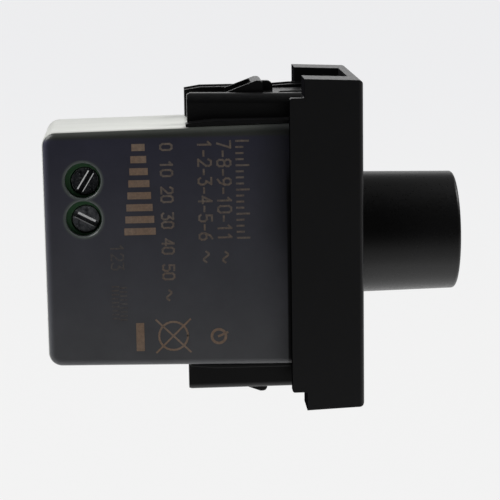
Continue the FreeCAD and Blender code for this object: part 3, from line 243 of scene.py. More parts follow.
HOLES = ((-29.52, 9.265), (-29.52, 4.135))
COVER_DOWN_Z = (15.5, -16.5)
COVER_HIGH_SHADE_TONE = (0.05, 0.05, 0.084)
COVER_LOW_LIT_TONE = (0.138, 0.141, 0.15)
COVER_TOP_Z = (14.6, 15.1)
COVER_TOP_TONE = (0.055, 0.06, 0.053)
COVER_CLOUD_SCALE = 160.0
COVER_CLOUD = (0.9, 1.1)
FRAME_SHADE_X = (-8.0, -1.5)
FRAME_SHADE_Z = (-8.0, 5.0)
FRAME_SHADE_MOST = 0.7
FRAME_SHADE_TONE = (0.006, 0.006, 0.009)
DARK_STRIP_X = (-2.4, -2.22)
DARK_STRIP_Z = (12.0, 8.0)
DARK_STRIP_TONE = (0.001, 0.001, 0.0015)
RING_RADIUS = 2.5
RING_FADE = (0.4, 0.08)
RING_MOST = 0.75
RING_HIGHLIGHT_TONE = (0.19, 0.22, 0.2)
SHELL_SHOWS_Y = (-8.3, -8.12)
SHELL_SHOWS_Z = (12.9, 13.0)
ARM_SHADE_X = (-15.2, -16.0)
REAR_END_X = (-33.0, -33.1)
SHELL_SHOWS_TONE = (0.7, 0.71, 0.67)
COVER_ROUGHNESS = (0.36, 0.46)


def hole_rim_highlight(graph, axes, x, z):
    """Painted highlight on the rim round an access hole."""
    across = graph.math("SUBTRACT", axes["X"], x * MM)
    along = graph.math("SUBTRACT", axes["Z"], z * MM)
    squares = (graph.math("MULTIPLY", across, across), graph.math("MULTIPLY", along, along))
    far = graph.math("SQRT", graph.math("ADD", *squares))
    off = graph.math("ABSOLUTE", graph.math("SUBTRACT", far, RING_RADIUS * MM))
    return graph.across(off, RING_FADE, 0.0, RING_MOST, smooth=True)


def make_cover_plastic():
    """Blue-black cover: lighter downwards as painted light, painted shade by the frame, a darker strip at
    its end by the frame, painted highlights round the holes, and pale where the shell shows but for
    painted shade under the arms.
    """
    material, graph = new_material("cover_plastic")
    where = graph.place()
    axes = graph.axes(where)
    # Painted light: the cover is lighter downwards.
    down = graph.across(axes["Z"], COVER_DOWN_Z)
    tone = graph.blend(down, rgba(COVER_HIGH_SHADE_TONE), rgba(COVER_LOW_LIT_TONE))
    top = graph.across(axes["Z"], COVER_TOP_Z, smooth=True)
    tone = graph.blend(top, tone, rgba(COVER_TOP_TONE))
    cloud = graph.noise(where, COVER_CLOUD_SCALE, 5.0, 0.62)
    tone = graph.dim(tone, graph.spread(cloud, *GRAIN_SPREAD, *COVER_CLOUD))
    # Painted shade next to the frame, strongest towards the top.
    frame_shade = graph.across(axes["X"], FRAME_SHADE_X, smooth=True)
    upper = graph.across(axes["Z"], FRAME_SHADE_Z, 0.0, FRAME_SHADE_MOST, smooth=True)
    tone = graph.blend(graph.math("MULTIPLY", frame_shade, upper), tone, rgba(FRAME_SHADE_TONE))
    # A darker strip along the cover's end by the frame, except near the top.
    dark_strip = graph.math("MULTIPLY", graph.across(axes["X"], DARK_STRIP_X), graph.across(axes["Z"], DARK_STRIP_Z))
    tone = graph.blend(dark_strip, tone, rgba(DARK_STRIP_TONE))
    # Painted highlights on the rims of the access holes.
    rim_highlights = [hole_rim_highlight(graph, axes, x, z) for x, z in HOLES]
    tone = graph.blend(graph.math("MAXIMUM", *rim_highlights), tone, rgba(RING_HIGHLIGHT_TONE))
    deep = graph.across(axes["Y"], SHELL_SHOWS_Y)
    high = graph.across(graph.math("ABSOLUTE", axes["Z"]), SHELL_SHOWS_Z)
    # Under the arms' plates the shell's pale tone is left out, as painted shade.
    outside = graph.math("MULTIPLY", high, graph.across(axes["X"], ARM_SHADE_X))
    outside = graph.math("MAXIMUM", outside, graph.across(axes["X"], REAR_END_X))
    tone = graph.blend(graph.math("MULTIPLY", deep, outside), tone, rgba(SHELL_SHOWS_TONE))
    fine = graph.noise(where, GRAIN_SCALE)
    bump = graph.relief(fine, GRAIN_DEPTH, GRAIN_STRENGTH, graph.rounded(EDGE_RADIUS, EDGE_SAMPLES))
    roughness = graph.spread(fine, *GRAIN_SPREAD, *COVER_ROUGHNESS)
    graph.finish("Material", graph.principled(tone, roughness, Normal=bump))
    return material


# Metal

LINE_SCALE = 3000.0
LINE_DEPTH = 0.01
LINE_STRENGTH = 0.5
LINE_ROUGHNESS = (-0.08, 0.12)
TARNISH_SCALE = 700.0
TARNISH = 0.2
TARNISH_GAIN = 0.45
METAL_EDGE_RADIUS = 0.08


def metal(name, colour, rough=0.3, stretch=(1, 1, 1)):
    """Plated or bare metal with fine lines along one axis and duller patches."""
    material, graph = new_material(name)
    lines = graph.noise(graph.place(stretch), LINE_SCALE, 3.0)
    patches = graph.noise(graph.place(), TARNISH_SCALE, 4.0, 0.6)
    dull = tuple(c * TARNISH_GAIN for c in colour)
    tone = graph.blend(graph.spread(patches, 0.35, 0.7, 0.0, TARNISH), rgba(colour), rgba(dull))
    smoother, rougher = LINE_ROUGHNESS
    roughness = graph.spread(lines, *GRAIN_SPREAD, rough + smoother, rough + rougher)
    bump = graph.relief(lines, LINE_DEPTH, LINE_STRENGTH, graph.rounded(METAL_EDGE_RADIUS, 4))
    graph.finish("Material", graph.principled(tone, roughness, Metallic=1.0, Normal=bump))
    return material


SCREW_CLOUD_SCALE = 1500.0
SCREW_ROUGHNESS = (0.28, 0.5)
SPECK_SCALE = 4200.0
SPECK_SPREAD = (0.6, 0.65)
DENT_SCALE = 2600.0
DENT_DEPTH = 0.05
DENT_STRENGTH = 0.9
SCREW_EDGE_RADIUS = 0.13
SCREW_EDGE_TURNS = (0.97, 0.8)
SCREW_EDGE_HIGHLIGHT_TONE = (0.95, 0.96, 0.97)
DUST_AND_HIGHLIGHT_TONE = (0.9, 0.92, 0.92)
EDGE_HIGHLIGHT_SHARE = 0.75


def make_screw_steel(name, dark, light, dust_share):
    """Dark plated head with dust specks, and a painted highlight on its edges: a near-white tone and white
    diffuse.
    """
    material, graph = new_material(name)
    where = graph.place()
    rounded = graph.rounded(SCREW_EDGE_RADIUS, 8)
    edge = graph.edge(rounded, SCREW_EDGE_TURNS, 1.0, smooth=True)
    cloud = graph.spread(graph.noise(where, SCREW_CLOUD_SCALE, 4.0, 0.65), *PATCH_SPREAD)
    tone = graph.blend(cloud, rgba(dark), rgba(light))
    # Painted highlight: the edges get a near-white tone.
    tone = graph.blend(edge, tone, rgba(SCREW_EDGE_HIGHLIGHT_TONE))
    speck = graph.spread(graph.noise(where, SPECK_SCALE, 3.0, 0.7), *SPECK_SPREAD)
    specks = graph.math("MULTIPLY", speck, dust_share)
    # Dust specks, and on the edges a share of white diffuse as painted highlight.
    dust_and_highlight = graph.math("MAXIMUM", specks, graph.math("MULTIPLY", edge, EDGE_HIGHLIGHT_SHARE))
    roughness = graph.spread(cloud, 0.0, 1.0, *SCREW_ROUGHNESS)
    bump = graph.relief(graph.noise(where, DENT_SCALE, 4.0, 0.6), DENT_DEPTH, DENT_STRENGTH, rounded)
    bare = graph.principled(tone, roughness, Metallic=1.0, Normal=bump)
    dust_and_highlit = graph.node("BsdfDiffuse", {"Color": rgba(DUST_AND_HIGHLIGHT_TONE), "Normal": bump}).outputs[0]
    graph.finish("Material", graph.mixed(dust_and_highlight, bare, dust_and_highlit))
    return material


SCRATCH_SCALE = 3600.0
SCRATCH_HIGHLIGHT_TONES = ((0.85, 0.86, 0.87), (0.99, 0.99, 0.99))
SCRATCH_ROUGHNESS = 0.12
DIFFUSE_HIGHLIGHT_SHARE = (0.1, 0.4)


def make_slot_highlight_steel():
    """Burred edge of a screw's slot: near-white metal with a share of white diffuse, a painted highlight
    of the slot's edge.
    """
    material, graph = new_material("slot_highlight_steel")
    scratch = graph.noise(graph.place(), SCRATCH_SCALE, 4.0, 0.65)
    bright, brightest = SCRATCH_HIGHLIGHT_TONES
    tone = graph.blend(graph.spread(scratch, 0.35, 0.6), rgba(bright), rgba(brightest))
    bare = graph.principled(tone, SCRATCH_ROUGHNESS, Metallic=1.0)
    diffuse_highlight = graph.node("BsdfDiffuse", {"Color": tone}).outputs[0]
    share = graph.spread(scratch, *GRAIN_SPREAD, *DIFFUSE_HIGHLIGHT_SHARE)
    graph.finish("Material", graph.mixed(share, bare, diffuse_highlight))
    return material


INK_PATCH_SCALE = 2400.0
INK_SHIFT_SCALE = 320.0
INK_WARMER = (1.05, 1.12, 1.2)
INK_GONE_TONE = (0.07, 0.068, 0.08)
INK_ROUGHNESS = 0.6


def ink(name, colour, thin):
    """Laser mark: uneven strokes in a warm tone, worn through in spots."""
    material, graph = new_material(name)
    where = graph.place()
    patch = graph.spread(graph.noise(where, INK_PATCH_SCALE, 4.0, 0.7), *PATCH_SPREAD, 0.0, thin)
    shift = graph.spread(graph.noise(where, INK_SHIFT_SCALE), 0.4, 0.6)
    second = tuple(c * gain for c, gain in zip(colour, INK_WARMER))
    tone = graph.blend(shift, rgba(colour), rgba(second))
    tone = graph.blend(patch, tone, rgba(INK_GONE_TONE))
    graph.finish("Material", graph.principled(tone, INK_ROUGHNESS))
    return material


# Finishes of the CAD nodes

frame_plastic = moulded(
    "frame_plastic", (0.0072, 0.0072, 0.0082), (0.0082, 0.0082, 0.0094), 0.36, wear=0.25, shade=shade_frame
)
carrier_plastic = moulded(
    "carrier_plastic", (0.0022, 0.0022, 0.0026), (0.0034, 0.0034, 0.0038), 0.34, wear=0.3
)
knob_plastic = moulded(
    "knob_plastic", (0.0004, 0.0004, 0.0006), (0.0006, 0.0006, 0.0008), 0.33, wear=0.2, shade=shade_knob
)
shell_plastic = moulded(
    "shell_plastic", (0.71, 0.72, 0.685), (0.66, 0.67, 0.635), 0.45, patch=200.0, shade=shade_shell
)
cover_plastic = make_cover_plastic()
terminal_plastic = moulded("terminal_plastic", (0.05, 0.165, 0.062), (0.036, 0.12, 0.045), 0.4)
header_plastic = moulded("header_plastic", (0.02, 0.02, 0.02), (0.03, 0.03, 0.03), 0.5)
board_laminate = moulded("board_laminate", (0.02, 0.16, 0.06), (0.03, 0.2, 0.09), 0.3, patch=400.0)
track_laminate = moulded("track_laminate", (0.32, 0.17, 0.07), (0.25, 0.13, 0.05), 0.5, patch=500.0)
rotor_plastic = moulded("rotor_plastic", (0.75, 0.75, 0.72), (0.68, 0.68, 0.64), 0.45)
switch_plastic = moulded("switch_plastic", (0.02, 0.02, 0.022), (0.03, 0.03, 0.03), 0.45)
triac_epoxy = moulded("triac_epoxy", (0.02, 0.02, 0.02), (0.028, 0.028, 0.028), 0.6, grain=0.03)
ferrite = moulded("ferrite", (0.06, 0.06, 0.062), (0.1, 0.1, 0.1), 0.7, grain=0.04, patch=900.0)
film_plastic = moulded("film_plastic", (0.7, 0.5, 0.05), (0.62, 0.43, 0.04), 0.3)
timing_plastic = moulded("timing_plastic", (0.4, 0.08, 0.03), (0.32, 0.06, 0.02), 0.25)
fuse_plastic = moulded("fuse_plastic", (0.2, 0.1, 0.05), (0.15, 0.07, 0.04), 0.4)
resistor_lacquer = moulded("resistor_lacquer", (0.6, 0.45, 0.25), (0.5, 0.37, 0.2), 0.3)
diac_lacquer = moulded("diac_lacquer", (0.06, 0.15, 0.45), (0.05, 0.12, 0.36), 0.25)
screw_steel = make_screw_steel("screw_steel", (0.09, 0.095, 0.11), (0.34, 0.35, 0.37), 0.6)
dark_screw_steel = make_screw_steel("dark_screw_steel", (0.02, 0.021, 0.026), (0.12, 0.125, 0.135), 0.45)
slot_highlight_steel = make_slot_highlight_steel()
cage_steel = metal("cage_steel", (0.6, 0.6, 0.62), 0.35, stretch=(1, 0.05, 1))
contact_brass = metal("contact_brass", (0.75, 0.55, 0.25), stretch=(0.05, 1, 1))
control_metal = metal("control_metal", (0.62, 0.61, 0.58), 0.28, stretch=(1, 0.05, 1))
shaft_metal = metal("shaft_metal", (0.72, 0.72, 0.74), stretch=(1, 0.04, 0.04))
can_metal = metal("can_metal", (0.55, 0.55, 0.57), 0.32, stretch=(0.06, 1, 1))
spring_steel = metal("spring_steel", (0.55, 0.55, 0.57), 0.25)
sink_aluminium = metal("sink_aluminium", (0.75, 0.76, 0.78), 0.38, stretch=(0.04, 1, 1))
copper = metal("copper", (0.72, 0.33, 0.16), 0.25, stretch=(1, 0.06, 0.06))

FINISHES = {
    frame_plastic: ("front_frame",),
    carrier_plastic: ("rear_carrier", "snap_tongue_top", "snap_tongue_bottom"),
    knob_plastic: ("knob",),
    shell_plastic: ("body_shell",),
    cover_plastic: ("body_cover",),
    terminal_plastic: ("terminal_block",),
    dark_screw_steel: ("terminal_screw_1",),
    screw_steel: ("terminal_screw_2",),
    cage_steel: ("clamp_cage_1", "clamp_cage_2", "heat_sink_screw"),
    contact_brass: (
        "contact_bar_1", "contact_bar_2", "pot_terminals", "switch_contacts", "contact_bridge", "wiper",
    ),
    board_laminate: ("main_board", "control_board"),
    header_plastic: ("board_header",),
    control_metal: ("threaded_bush", "bush_washer", "bush_nut"),
    shaft_metal: ("control_shaft",),
    can_metal: ("pot_can",),
    track_laminate: ("pot_track",),
    rotor_plastic: ("pot_rotor", "switch_plunger"),
    switch_plastic: ("switch_housing",),
    spring_steel: ("return_spring",),
    sink_aluminium: ("heat_sink",),
    triac_epoxy: ("triac",),
    ferrite: ("choke_core",),
    copper: ("choke_winding",),
    film_plastic: ("film_capacitor",),
    timing_plastic: ("timing_capacitor",),
    fuse_plastic: ("fuse",),
    resistor_lacquer: ("resistors",),
    diac_lacquer: ("diac",),
}

for material, names in FINISHES.items():
    for name in names:
        finishes = nodes[name].data.materials
        finishes.clear()
        finishes.append(material)


# Raised strokes: each sign is a line through points in a box 0.6 wide and 1 high

GLYPHS = {
    "0": ((0.15, 0), (0.45, 0), (0.6, 0.18), (0.6, 0.82), (0.45, 1), (0.15, 1), (0, 0.82), (0, 0.18),
          (0.15, 0)),
    "1": ((0.1, 0.78), (0.35, 1), (0.35, 0)),
    "2": ((0, 0.8), (0.13, 1), (0.47, 1), (0.6, 0.83), (0.58, 0.6), (0, 0), (0.6, 0)),
    "3": ((0, 1), (0.58, 1), (0.28, 0.6), (0.47, 0.57), (0.6, 0.42), (0.6, 0.17), (0.45, 0), (0.13, 0),
          (0, 0.14)),
    "4": ((0.45, 0), (0.45, 1), (0, 0.3), (0.62, 0.3)),
    "5": ((0.55, 1), (0.06, 1), (0.03, 0.57), (0.42, 0.6), (0.6, 0.44), (0.6, 0.16), (0.45, 0), (0.12, 0),
          (0, 0.12)),
    "6": ((0.5, 1), (0.2, 0.82), (0, 0.45), (0, 0.17), (0.15, 0), (0.45, 0), (0.6, 0.17), (0.6, 0.37),
          (0.45, 0.54), (0.15, 0.54), (0, 0.4)),
    "7": ((0, 1), (0.6, 1), (0.2, 0)),
    "8": ((0.15, 0.54), (0, 0.7), (0, 0.86), (0.15, 1), (0.45, 1), (0.6, 0.86), (0.6, 0.7), (0.45, 0.54),
          (0.15, 0.54), (0, 0.4), (0, 0.14), (0.15, 0), (0.45, 0), (0.6, 0.14), (0.6, 0.4), (0.45, 0.54)),
    "9": ((0.1, 0), (0.4, 0.18), (0.6, 0.55), (0.6, 0.83), (0.45, 1), (0.15, 1), (0, 0.83), (0, 0.63),
          (0.15, 0.46), (0.45, 0.46), (0.6, 0.6)),
    "-": ((0.08, 0.42), (0.52, 0.42)),
    "~": tuple((0.1 * i, 0.5 + 0.2 * math.sin(0.1 * i * 2 * math.pi)) for i in range(11)),
}
SIGN_WIDTH = 1.15
STROKE_END = 0.45
STROKE_CORNERS = 8
STROKE_STEP = 0.0012
STROKE_STEPS = 9


class Marks:
    """Thin raised strokes on a flat face, gathered into one mesh.

    The face is given by its origin, the two ways that the strokes' places are measured in,
    and the way out of the face, in millimetres.
    """

    def __init__(self, origin, across, up, out, height):
        self.origin, self.height = Vector(origin), height
        self.across, self.up, self.out = Vector(across), Vector(up), Vector(out)
        self.spots, self.faces = [], []

    def at(self, spot, level):
        return self.origin + self.across * spot[0] + self.up * spot[1] + self.out * level

    def bar(self, start, end, width, lean=0.0):
        """One stroke with square ends, higher on its left by the lean.

        Strokes that cross differ a hair in height, so that no two tops share a plane.
        """
        run = Vector(end) - Vector(start)
        along = run.normalized() * width * STROKE_END
        side = Vector((-along.y, along.x)).normalized() * width / 2
        a, b = Vector(start) - along, Vector(end) + along
        corners = (a - side, b - side, b + side, a + side)
        first = len(self.spots)
        step = (first // STROKE_CORNERS) % STROKE_STEPS * STROKE_STEP
        leans = (-lean / 2, -lean / 2, lean / 2, lean / 2)
        self.spots += [self.at(p, -step) for p in corners]
        self.spots += [self.at(p, self.height + step + extra) for p, extra in zip(corners, leans)]
        quads = ((3, 2, 1, 0), (4, 5, 6, 7), (1, 5, 4, 0), (2, 6, 5, 1), (3, 7, 6, 2), (0, 4, 7, 3))
        handed = self.across.cross(self.up).dot(self.out) > 0
        for quad in quads:
            quad = quad if handed else quad[::-1]
            self.faces.append(tuple(first + i for i in quad))

    def line(self, points, width):
        for start, end in zip(points, points[1:]):
            self.bar(start, end, width)

    def text(self, signs, left, right, top, advance, width):
        """Signs read downwards: their feet on the left, their heads on the right."""
        height = right - left
        for step, sign in enumerate(signs):
            if sign != " ":
                origin = top - step * advance
                points = [(left + v * height, origin - u * advance * SIGN_WIDTH) for u, v in GLYPHS[sign]]
                self.line(points, width)

    def ring(self, centre, radius, width, count=28):
        turns = [2 * math.pi * i / count for i in range(count + 1)]
        points = [(centre[0] + radius * math.cos(t), centre[1] + radius * math.sin(t)) for t in turns]
        self.line(points, width)

    def piece(self, name, material, body):
        mesh = bpy.data.meshes.new(name)
        mesh.from_pydata([tuple(c * MM for c in spot) for spot in self.spots], [], self.faces)
        mesh.materials.append(material)
        made = bpy.data.objects.new(name, mesh)
        bpy.context.scene.collection.objects.link(made)
        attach(made, body)
        return made


# Marks on the cover: plain numbers, ticks and simple signs, read downwards

COVER_FACE = ((0, -8.757, 0), (1, 0, 0), (0, 0, 1), (0, -1, 0))
INK_HEIGHT = 0.02
strong_ink = ink("strong_ink", (0.46, 0.31, 0.21), 0.35)
plain_ink = ink("plain_ink", (0.34, 0.26, 0.2), 0.6)
faint_ink = ink("faint_ink", (0.2, 0.17, 0.15), 0.8)

STAIR_X = -22.06
STAIR_TOP = 13.6
STAIR_DROP = 1.62
STAIR_COUNT = 8
STAIR_SHORTEST = 0.9
STAIR_GROWTH = 0.35
STAIR_WIDTH = 0.95
BLOCK = ((-22.38, -10.8), (-22.38, -13.7))
BLOCK_WIDTH = 1.1
CROSSED_CENTRE = (-17.9, -12.2)
CROSSED_RADIUS = 1.95
CROSSED_STROKE = 0.26
CROSS_REACH = (2.3, 2.25)
CROSS_STROKE = 0.24
DIAL_CENTRE = (-11.75, -12.4)
DIAL_RADIUS = 0.95
DIAL_STROKE = 0.34
DIAL_HAND = (-10.6, -11.9)
DIAL_HAND_STROKE = 0.3
NUMBER_STROKE = 0.26
NUMBER_ROWS = (
    ("0 10 20 30 40 50 ~", -19.1, -17.6, 14.0, 1.17),
    ("1-2-3-4-5-6 ~", -14.1, -12.4, 14.3, 1.25),
    ("7-8-9-10-11 ~", -11.55, -9.8, 14.2, 1.25),
)
RULER_X = -9.0
RULER_TOP = 14.2
RULER_STEP = 0.82
RULER_COUNT = 17
RULER_EVERY = 4
RULER_LONG = 1.6
RULER_SHORT = 0.85
CODE = ("123", -26.0, -24.4, 0.5, 1.25)
CODE_STROKE = 0.22
TICKS_TOP = -5.2
TICKS_STEP = 0.55
TICKS_COUNT = 9
TICKS_LEFT = (-26.0, -25.2)
TICKS_RIGHT = (-24.9, -24.1)
TICKS_STROKE = 0.2


def make_signs():
    signs = Marks(*COVER_FACE, INK_HEIGHT)
    for step in range(STAIR_COUNT):
        z = STAIR_TOP - step * STAIR_DROP
        reach = STAIR_SHORTEST + step * STAIR_GROWTH
        signs.bar((STAIR_X - reach / 2, z), (STAIR_X + reach / 2, z), STAIR_WIDTH)
    signs.bar(*BLOCK, BLOCK_WIDTH)
    signs.ring(CROSSED_CENTRE, CROSSED_RADIUS, CROSSED_STROKE)
    (x, z), (aside, up) = CROSSED_CENTRE, CROSS_REACH
    signs.line(((x - aside, z + up), (x + aside, z - up)), CROSS_STROKE)
    signs.line(((x + aside, z + up), (x - aside, z - up)), CROSS_STROKE)
    signs.ring(DIAL_CENTRE, DIAL_RADIUS, DIAL_STROKE, 20)
    signs.line((DIAL_CENTRE, DIAL_HAND), DIAL_HAND_STROKE)
    signs.piece("cover_signs", strong_ink, "root")


def make_numbers():
    numbers = Marks(*COVER_FACE, INK_HEIGHT)
    for row in NUMBER_ROWS:
        numbers.text(*row, NUMBER_STROKE)
    for step in range(RULER_COUNT):
        reach = RULER_SHORT if step % RULER_EVERY else RULER_LONG
        z = RULER_TOP - step * RULER_STEP
        numbers.bar((RULER_X, z), (RULER_X + reach, z), NUMBER_STROKE)
    numbers.piece("cover_numbers", plain_ink, "root")


def make_ticks():
    ticks = Marks(*COVER_FACE, INK_HEIGHT)
    ticks.text(*CODE, CODE_STROKE)
    for step in range(TICKS_COUNT):
        z = TICKS_TOP - step * TICKS_STEP
        lower = z - TICKS_STROKE
        ticks.bar((TICKS_LEFT[0], z), (TICKS_LEFT[1], z), TICKS_STROKE)
        ticks.bar((TICKS_RIGHT[0], lower), (TICKS_RIGHT[1], lower), TICKS_STROKE)
    ticks.piece("cover_ticks", faint_ink, "root")


# Raised details of the sides that the photo doesn't show

REAR_FACE = ((-34.857, 0, 0), (0, -1, 0), (0, 0, 1), (-1, 0, 0))
FAR_FACE = ((0, 8.397, 0), (-1, 0, 0), (0, 0, 1), (0, 1, 0))
KNOB_END = ((21.447, 0, 0), (0, 1, 0), (0, 0, 1), (1, 0, 0))
MOULDING_HEIGHT = 0.12
ENTRY_LEVELS = {"1": 9.07, "2": 3.94}
ENTRY_ASIDE = -0.75
ENTRY_RADIUS = 1.75
ENTRY_STROKE = 0.22
NUMBER_LEFT = -3.6
NUMBER_SIZE = (1.5, 1.6)
ENTRY_NUMBER_STROKE = 0.28
EJECTOR_X = (5.5, 31.0)
EJECTOR_Z = 12.5
EJECTOR_RADIUS = 1.4
EJECTOR_STROKE = 0.16
PANEL_X = (8.5, 28.0)
PANEL_STROKE = 0.3
PANEL_HEIGHT = 0.1
POINTER = ((0, 3.6), (0, 6.9))
POINTER_WIDTH = 0.7


def make_entry_numbers():
    rear = Marks(*REAR_FACE, MOULDING_HEIGHT)
    wide, high = NUMBER_SIZE
    for sign, level in ENTRY_LEVELS.items():
        points = [(NUMBER_LEFT + u * wide, level - high / 2 + v * high) for u, v in GLYPHS[sign]]
        rear.line(points, ENTRY_NUMBER_STROKE)
        rear.ring((ENTRY_ASIDE, level), ENTRY_RADIUS, ENTRY_STROKE, 36)
    rear.piece("entry_numbers", shell_plastic, "root")


def make_far_panel_rim():
    far = Marks(*FAR_FACE, PANEL_HEIGHT)
    for x in EJECTOR_X:
        for z in (-EJECTOR_Z, EJECTOR_Z):
            far.ring((x, z), EJECTOR_RADIUS, EJECTOR_STROKE, 32)
    left, right = PANEL_X
    corners = ((left, -EJECTOR_Z), (right, -EJECTOR_Z), (right, EJECTOR_Z), (left, EJECTOR_Z))
    far.line((*corners, corners[0]), PANEL_STROKE)
    far.piece("far_panel_rim", shell_plastic, "root")


def make_knob_pointer():
    end = Marks(*KNOB_END, MOULDING_HEIGHT)
    end.bar(*POINTER, POINTER_WIDTH)
    end.piece("knob_pointer", knob_plastic, "knob_and_shaft")


# Burrs along the screwdriver slots. For each screw: the slot's direction in degrees, then
# its smooth and its torn burrs, each with its place across the slot and its width

# The burrs' near-white finish is a painted highlight of the slot edges.
BURR_HEIGHT = 0.07
BURR_REACH = 1.55
BURR_LEAN = 0.3
TOOTH = 0.2
TOOTH_LEAN = 0.25
TEETH = range(-6, 7)
SLOTS = (
    ("terminal_screw_1", 58, ((0.3, 0.17), (-0.47, 0.1)), ()),
    ("terminal_screw_2", -28, ((-0.44, 0.08),), ((0.28, 0.3),)),
)


def make_burrs(name, degrees, smooth, torn):
    """Burrs on a screw's head in a near-white finish that is a painted highlight, leaning to the light; a
    torn one is a row of teeth.
    """
    low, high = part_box(name)
    centre = [(low[i] + high[i]) / 2 / MM for i in range(3)]
    head_face = ((centre[0], low[1] / MM, centre[2]), (1, 0, 0), (0, 0, 1), (0, -1, 0))
    burrs = Marks(*head_face, BURR_HEIGHT)
    along = Vector((math.cos(math.radians(degrees)), math.sin(math.radians(degrees))))
    aside = Vector((-along.y, along.x))
    for off, width in smooth:
        reach = BURR_REACH - width
        burrs.bar(aside * off - along * reach, aside * off + along * reach, width, width * BURR_LEAN)
    for off, width in torn:
        half = width / 2 - TOOTH * STROKE_END
        for step in TEETH:
            spot = aside * off + along * step * TOOTH
            burrs.bar(spot - aside * half, spot + aside * half, TOOTH, TOOTH * TOOTH_LEAN)
    burrs.piece(name + "_burrs", slot_highlight_steel, name)


def make_spring():
    """The push switch's spring: a copy with its own mesh on the root body; the CAD spring is hidden."""
    spring = bpy.data.objects.new("spring_coils", nodes["return_spring"].data.copy())
    bpy.context.scene.collection.objects.link(spring)
    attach(spring, "root")
    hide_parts("return_spring")
    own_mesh(spring)


make_signs()
make_numbers()
make_ticks()
make_entry_numbers()
make_far_panel_rim()
make_knob_pointer()
for slot in SLOTS:
    make_burrs(*slot)
make_spring()


# Floor, world, lamps and camera: places in millimetres

FLOOR_LEVEL = -80.0
FLOOR_FRONT = -90.0
FLOOR_BACK = 6000.0
FLOOR_SIDE = 3000.0
FLOOR_TONE = (0.905, 0.905, 0.905)
FAR_FLOOR_TONE = (0.895, 0.897, 0.91)
FAR_FLOOR_Y = (130.0, 1100.0)
FLOOR_SPECK = 0.02
FLOOR_SPECK_SCALE = 300.0
FLOOR_GLOW = 0.94
FLOOR_FADE = 0.3


def make_floor():
    """Pale floor that fades out towards the camera, and shows plainly in reflections."""
    mesh = bpy.data.meshes.new("floor")
    front = [(-FLOOR_SIDE, FLOOR_FRONT), (FLOOR_SIDE, FLOOR_FRONT)]
    corners = front + [(FLOOR_SIDE, FLOOR_BACK), (-FLOOR_SIDE, FLOOR_BACK)]
    mesh.from_pydata([(x * MM, y * MM, FLOOR_LEVEL * MM) for x, y in corners], [], [(0, 1, 2, 3)])
    floor = bpy.data.objects.new("floor", mesh)
    bpy.context.scene.collection.objects.link(floor)
    material, graph = new_material("floor")
    depth = graph.axes(graph.place())["Y"]
    far = graph.across(depth, FAR_FLOOR_Y, smooth=True)
    tint = graph.blend(far, rgba(FLOOR_TONE), rgba(FAR_FLOOR_TONE))
    speck = graph.noise(graph.place(), FLOOR_SPECK_SCALE, 3.0)
    speck = graph.spread(speck, *GRAIN_SPREAD, 0.0, FLOOR_SPECK)
    tint = graph.blend(speck, tint, (1, 1, 1, 1))
    matte = graph.node("BsdfDiffuse", {"Color": tint, "Roughness": 0.5}).outputs[0]
    glow = graph.node("Emission", {"Color": tint, "Strength": 1.0}).outputs[0]
    path = graph.node("LightPath").outputs
    seen = graph.math("MAXIMUM", path["Is Camera Ray"], path["Is Glossy Ray"])
    seen = graph.math("MAXIMUM", seen, path["Is Transmission Ray"])
    surface = graph.mixed(graph.math("MULTIPLY", seen, FLOOR_GLOW), matte, glow)
    open_air = graph.node("BsdfTransparent").outputs[0]
    fade = graph.across(depth, (FLOOR_FRONT, FLOOR_FRONT * FLOOR_FADE), smooth=True)
    graph.finish("Material", graph.mixed(fade, open_air, surface))
    mesh.materials.append(material)


# Light by direction: -1 towards the camera, 1 away from it

UPPER_SKY = ((-1, 0.045), (-0.6, 0.035), (-0.24, 0.04), (0.28, 0.12), (0.8, 0.2), (0.97, 0.95))
LOWER_SKY = ((-0.98, 0.13), (-0.8, 0.46), (-0.42, 0.54), (0.17, 0.8), (0.87, 0.95))
SKY_BORDER = (-0.25, -0.05)
LEFT_FLAG = (-0.2, -0.085)
LEFT_FLAG_LEVEL = 0.3
BACKDROP_BORDER = (-0.32, -0.05)
LOW_BACKDROP = (0.905, 0.905, 0.905)
HIGH_BACKDROP = (0.855, 0.855, 0.871)


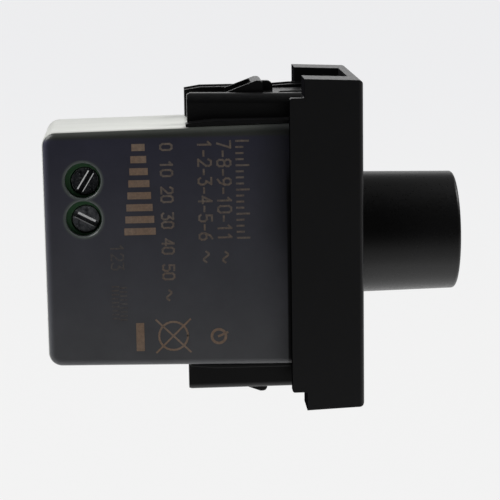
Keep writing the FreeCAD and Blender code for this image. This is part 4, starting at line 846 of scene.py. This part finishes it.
def make_world():
    """Bright behind and below the object, dark on the side that faces the camera."""
    world = bpy.data.worlds.new("studio")
    bpy.context.scene.world = world
    graph = Graph(world)
    way = graph.axes(graph.node("TexCoord").outputs["Generated"])
    depth = graph.spread(way["Y"], -1.0, 1.0)

    def ramp(stops):
        made = graph.node("ValToRGB", {"Fac": depth})
        made.color_ramp.interpolation = "EASE"
        points = made.color_ramp.elements
        while len(points) < len(stops):
            points.new(0.5)
        for point, (place, level) in zip(points, stops):
            point.position = place / 2 + 0.5
            point.color = (level, level, level, 1)
        return made.outputs["Color"]

    upper = ramp(UPPER_SKY)
    lower = ramp(LOWER_SKY)
    around = graph.blend(graph.spread(way["Z"], *SKY_BORDER, smooth=True), lower, upper)
    around = graph.dim(around, graph.spread(way["X"], *LEFT_FLAG, LEFT_FLAG_LEVEL, 1.0, smooth=True))
    high = graph.spread(way["Z"], *BACKDROP_BORDER, smooth=True)
    behind = graph.blend(high, rgba(LOW_BACKDROP), rgba(HIGH_BACKDROP))
    seen = graph.node("LightPath").outputs["Is Camera Ray"]
    shown = graph.blend(seen, around, behind)
    graph.finish("World", graph.node("Background", {"Color": shown, "Strength": 1.0}).outputs[0])


LAMP_SIZE = 300.0
LAMPS = (
    ("left", (-420, -20, 430), 3.1),
    ("right", (430, 60, 430), 1.5),
)


def make_lamp(name, place, power):
    """Square lamp that faces the origin."""
    data = bpy.data.lights.new(name, "AREA")
    data.shape = "RECTANGLE"
    data.size = data.size_y = LAMP_SIZE * MM
    data.energy = power
    lamp = bpy.data.objects.new(name, data)
    bpy.context.scene.collection.objects.link(lamp)
    lamp.location = Vector(place) * MM
    lamp.rotation_euler = Vector(place).to_track_quat("Z", "Y").to_euler()


CAMERA_PLACE = (-20.545, -260.011, 46.782)
CAMERA_LENS = 136.9186
CAMERA_SENSOR = 36.0
PICTURE_RIGHT = (0.99837, -0.05518, -0.01477)
PICTURE_DOWN = (-0.02471, -0.1841, -0.9826)
PICTURE_IN = (0.0515, 0.98136, -0.18517)


def make_camera():
    """The photo's camera, as fitted to the module's face."""
    data = bpy.data.cameras.new("camera")
    data.sensor_width = CAMERA_SENSOR
    data.lens = CAMERA_LENS
    data.clip_start = 10 * MM
    right, down, inwards = Vector(PICTURE_RIGHT), Vector(PICTURE_DOWN), Vector(PICTURE_IN)
    turn = Matrix((right, -down, -inwards)).transposed().to_4x4()
    camera = bpy.data.objects.new("camera", data)
    bpy.context.scene.collection.objects.link(camera)
    camera.matrix_world = Matrix.Translation(Vector(CAMERA_PLACE) * MM) @ turn
    bpy.context.scene.camera = camera


make_floor()
make_world()
for lamp in LAMPS:
    make_lamp(*lamp)
make_camera()
bpy.context.scene.view_settings.view_transform = "Standard"
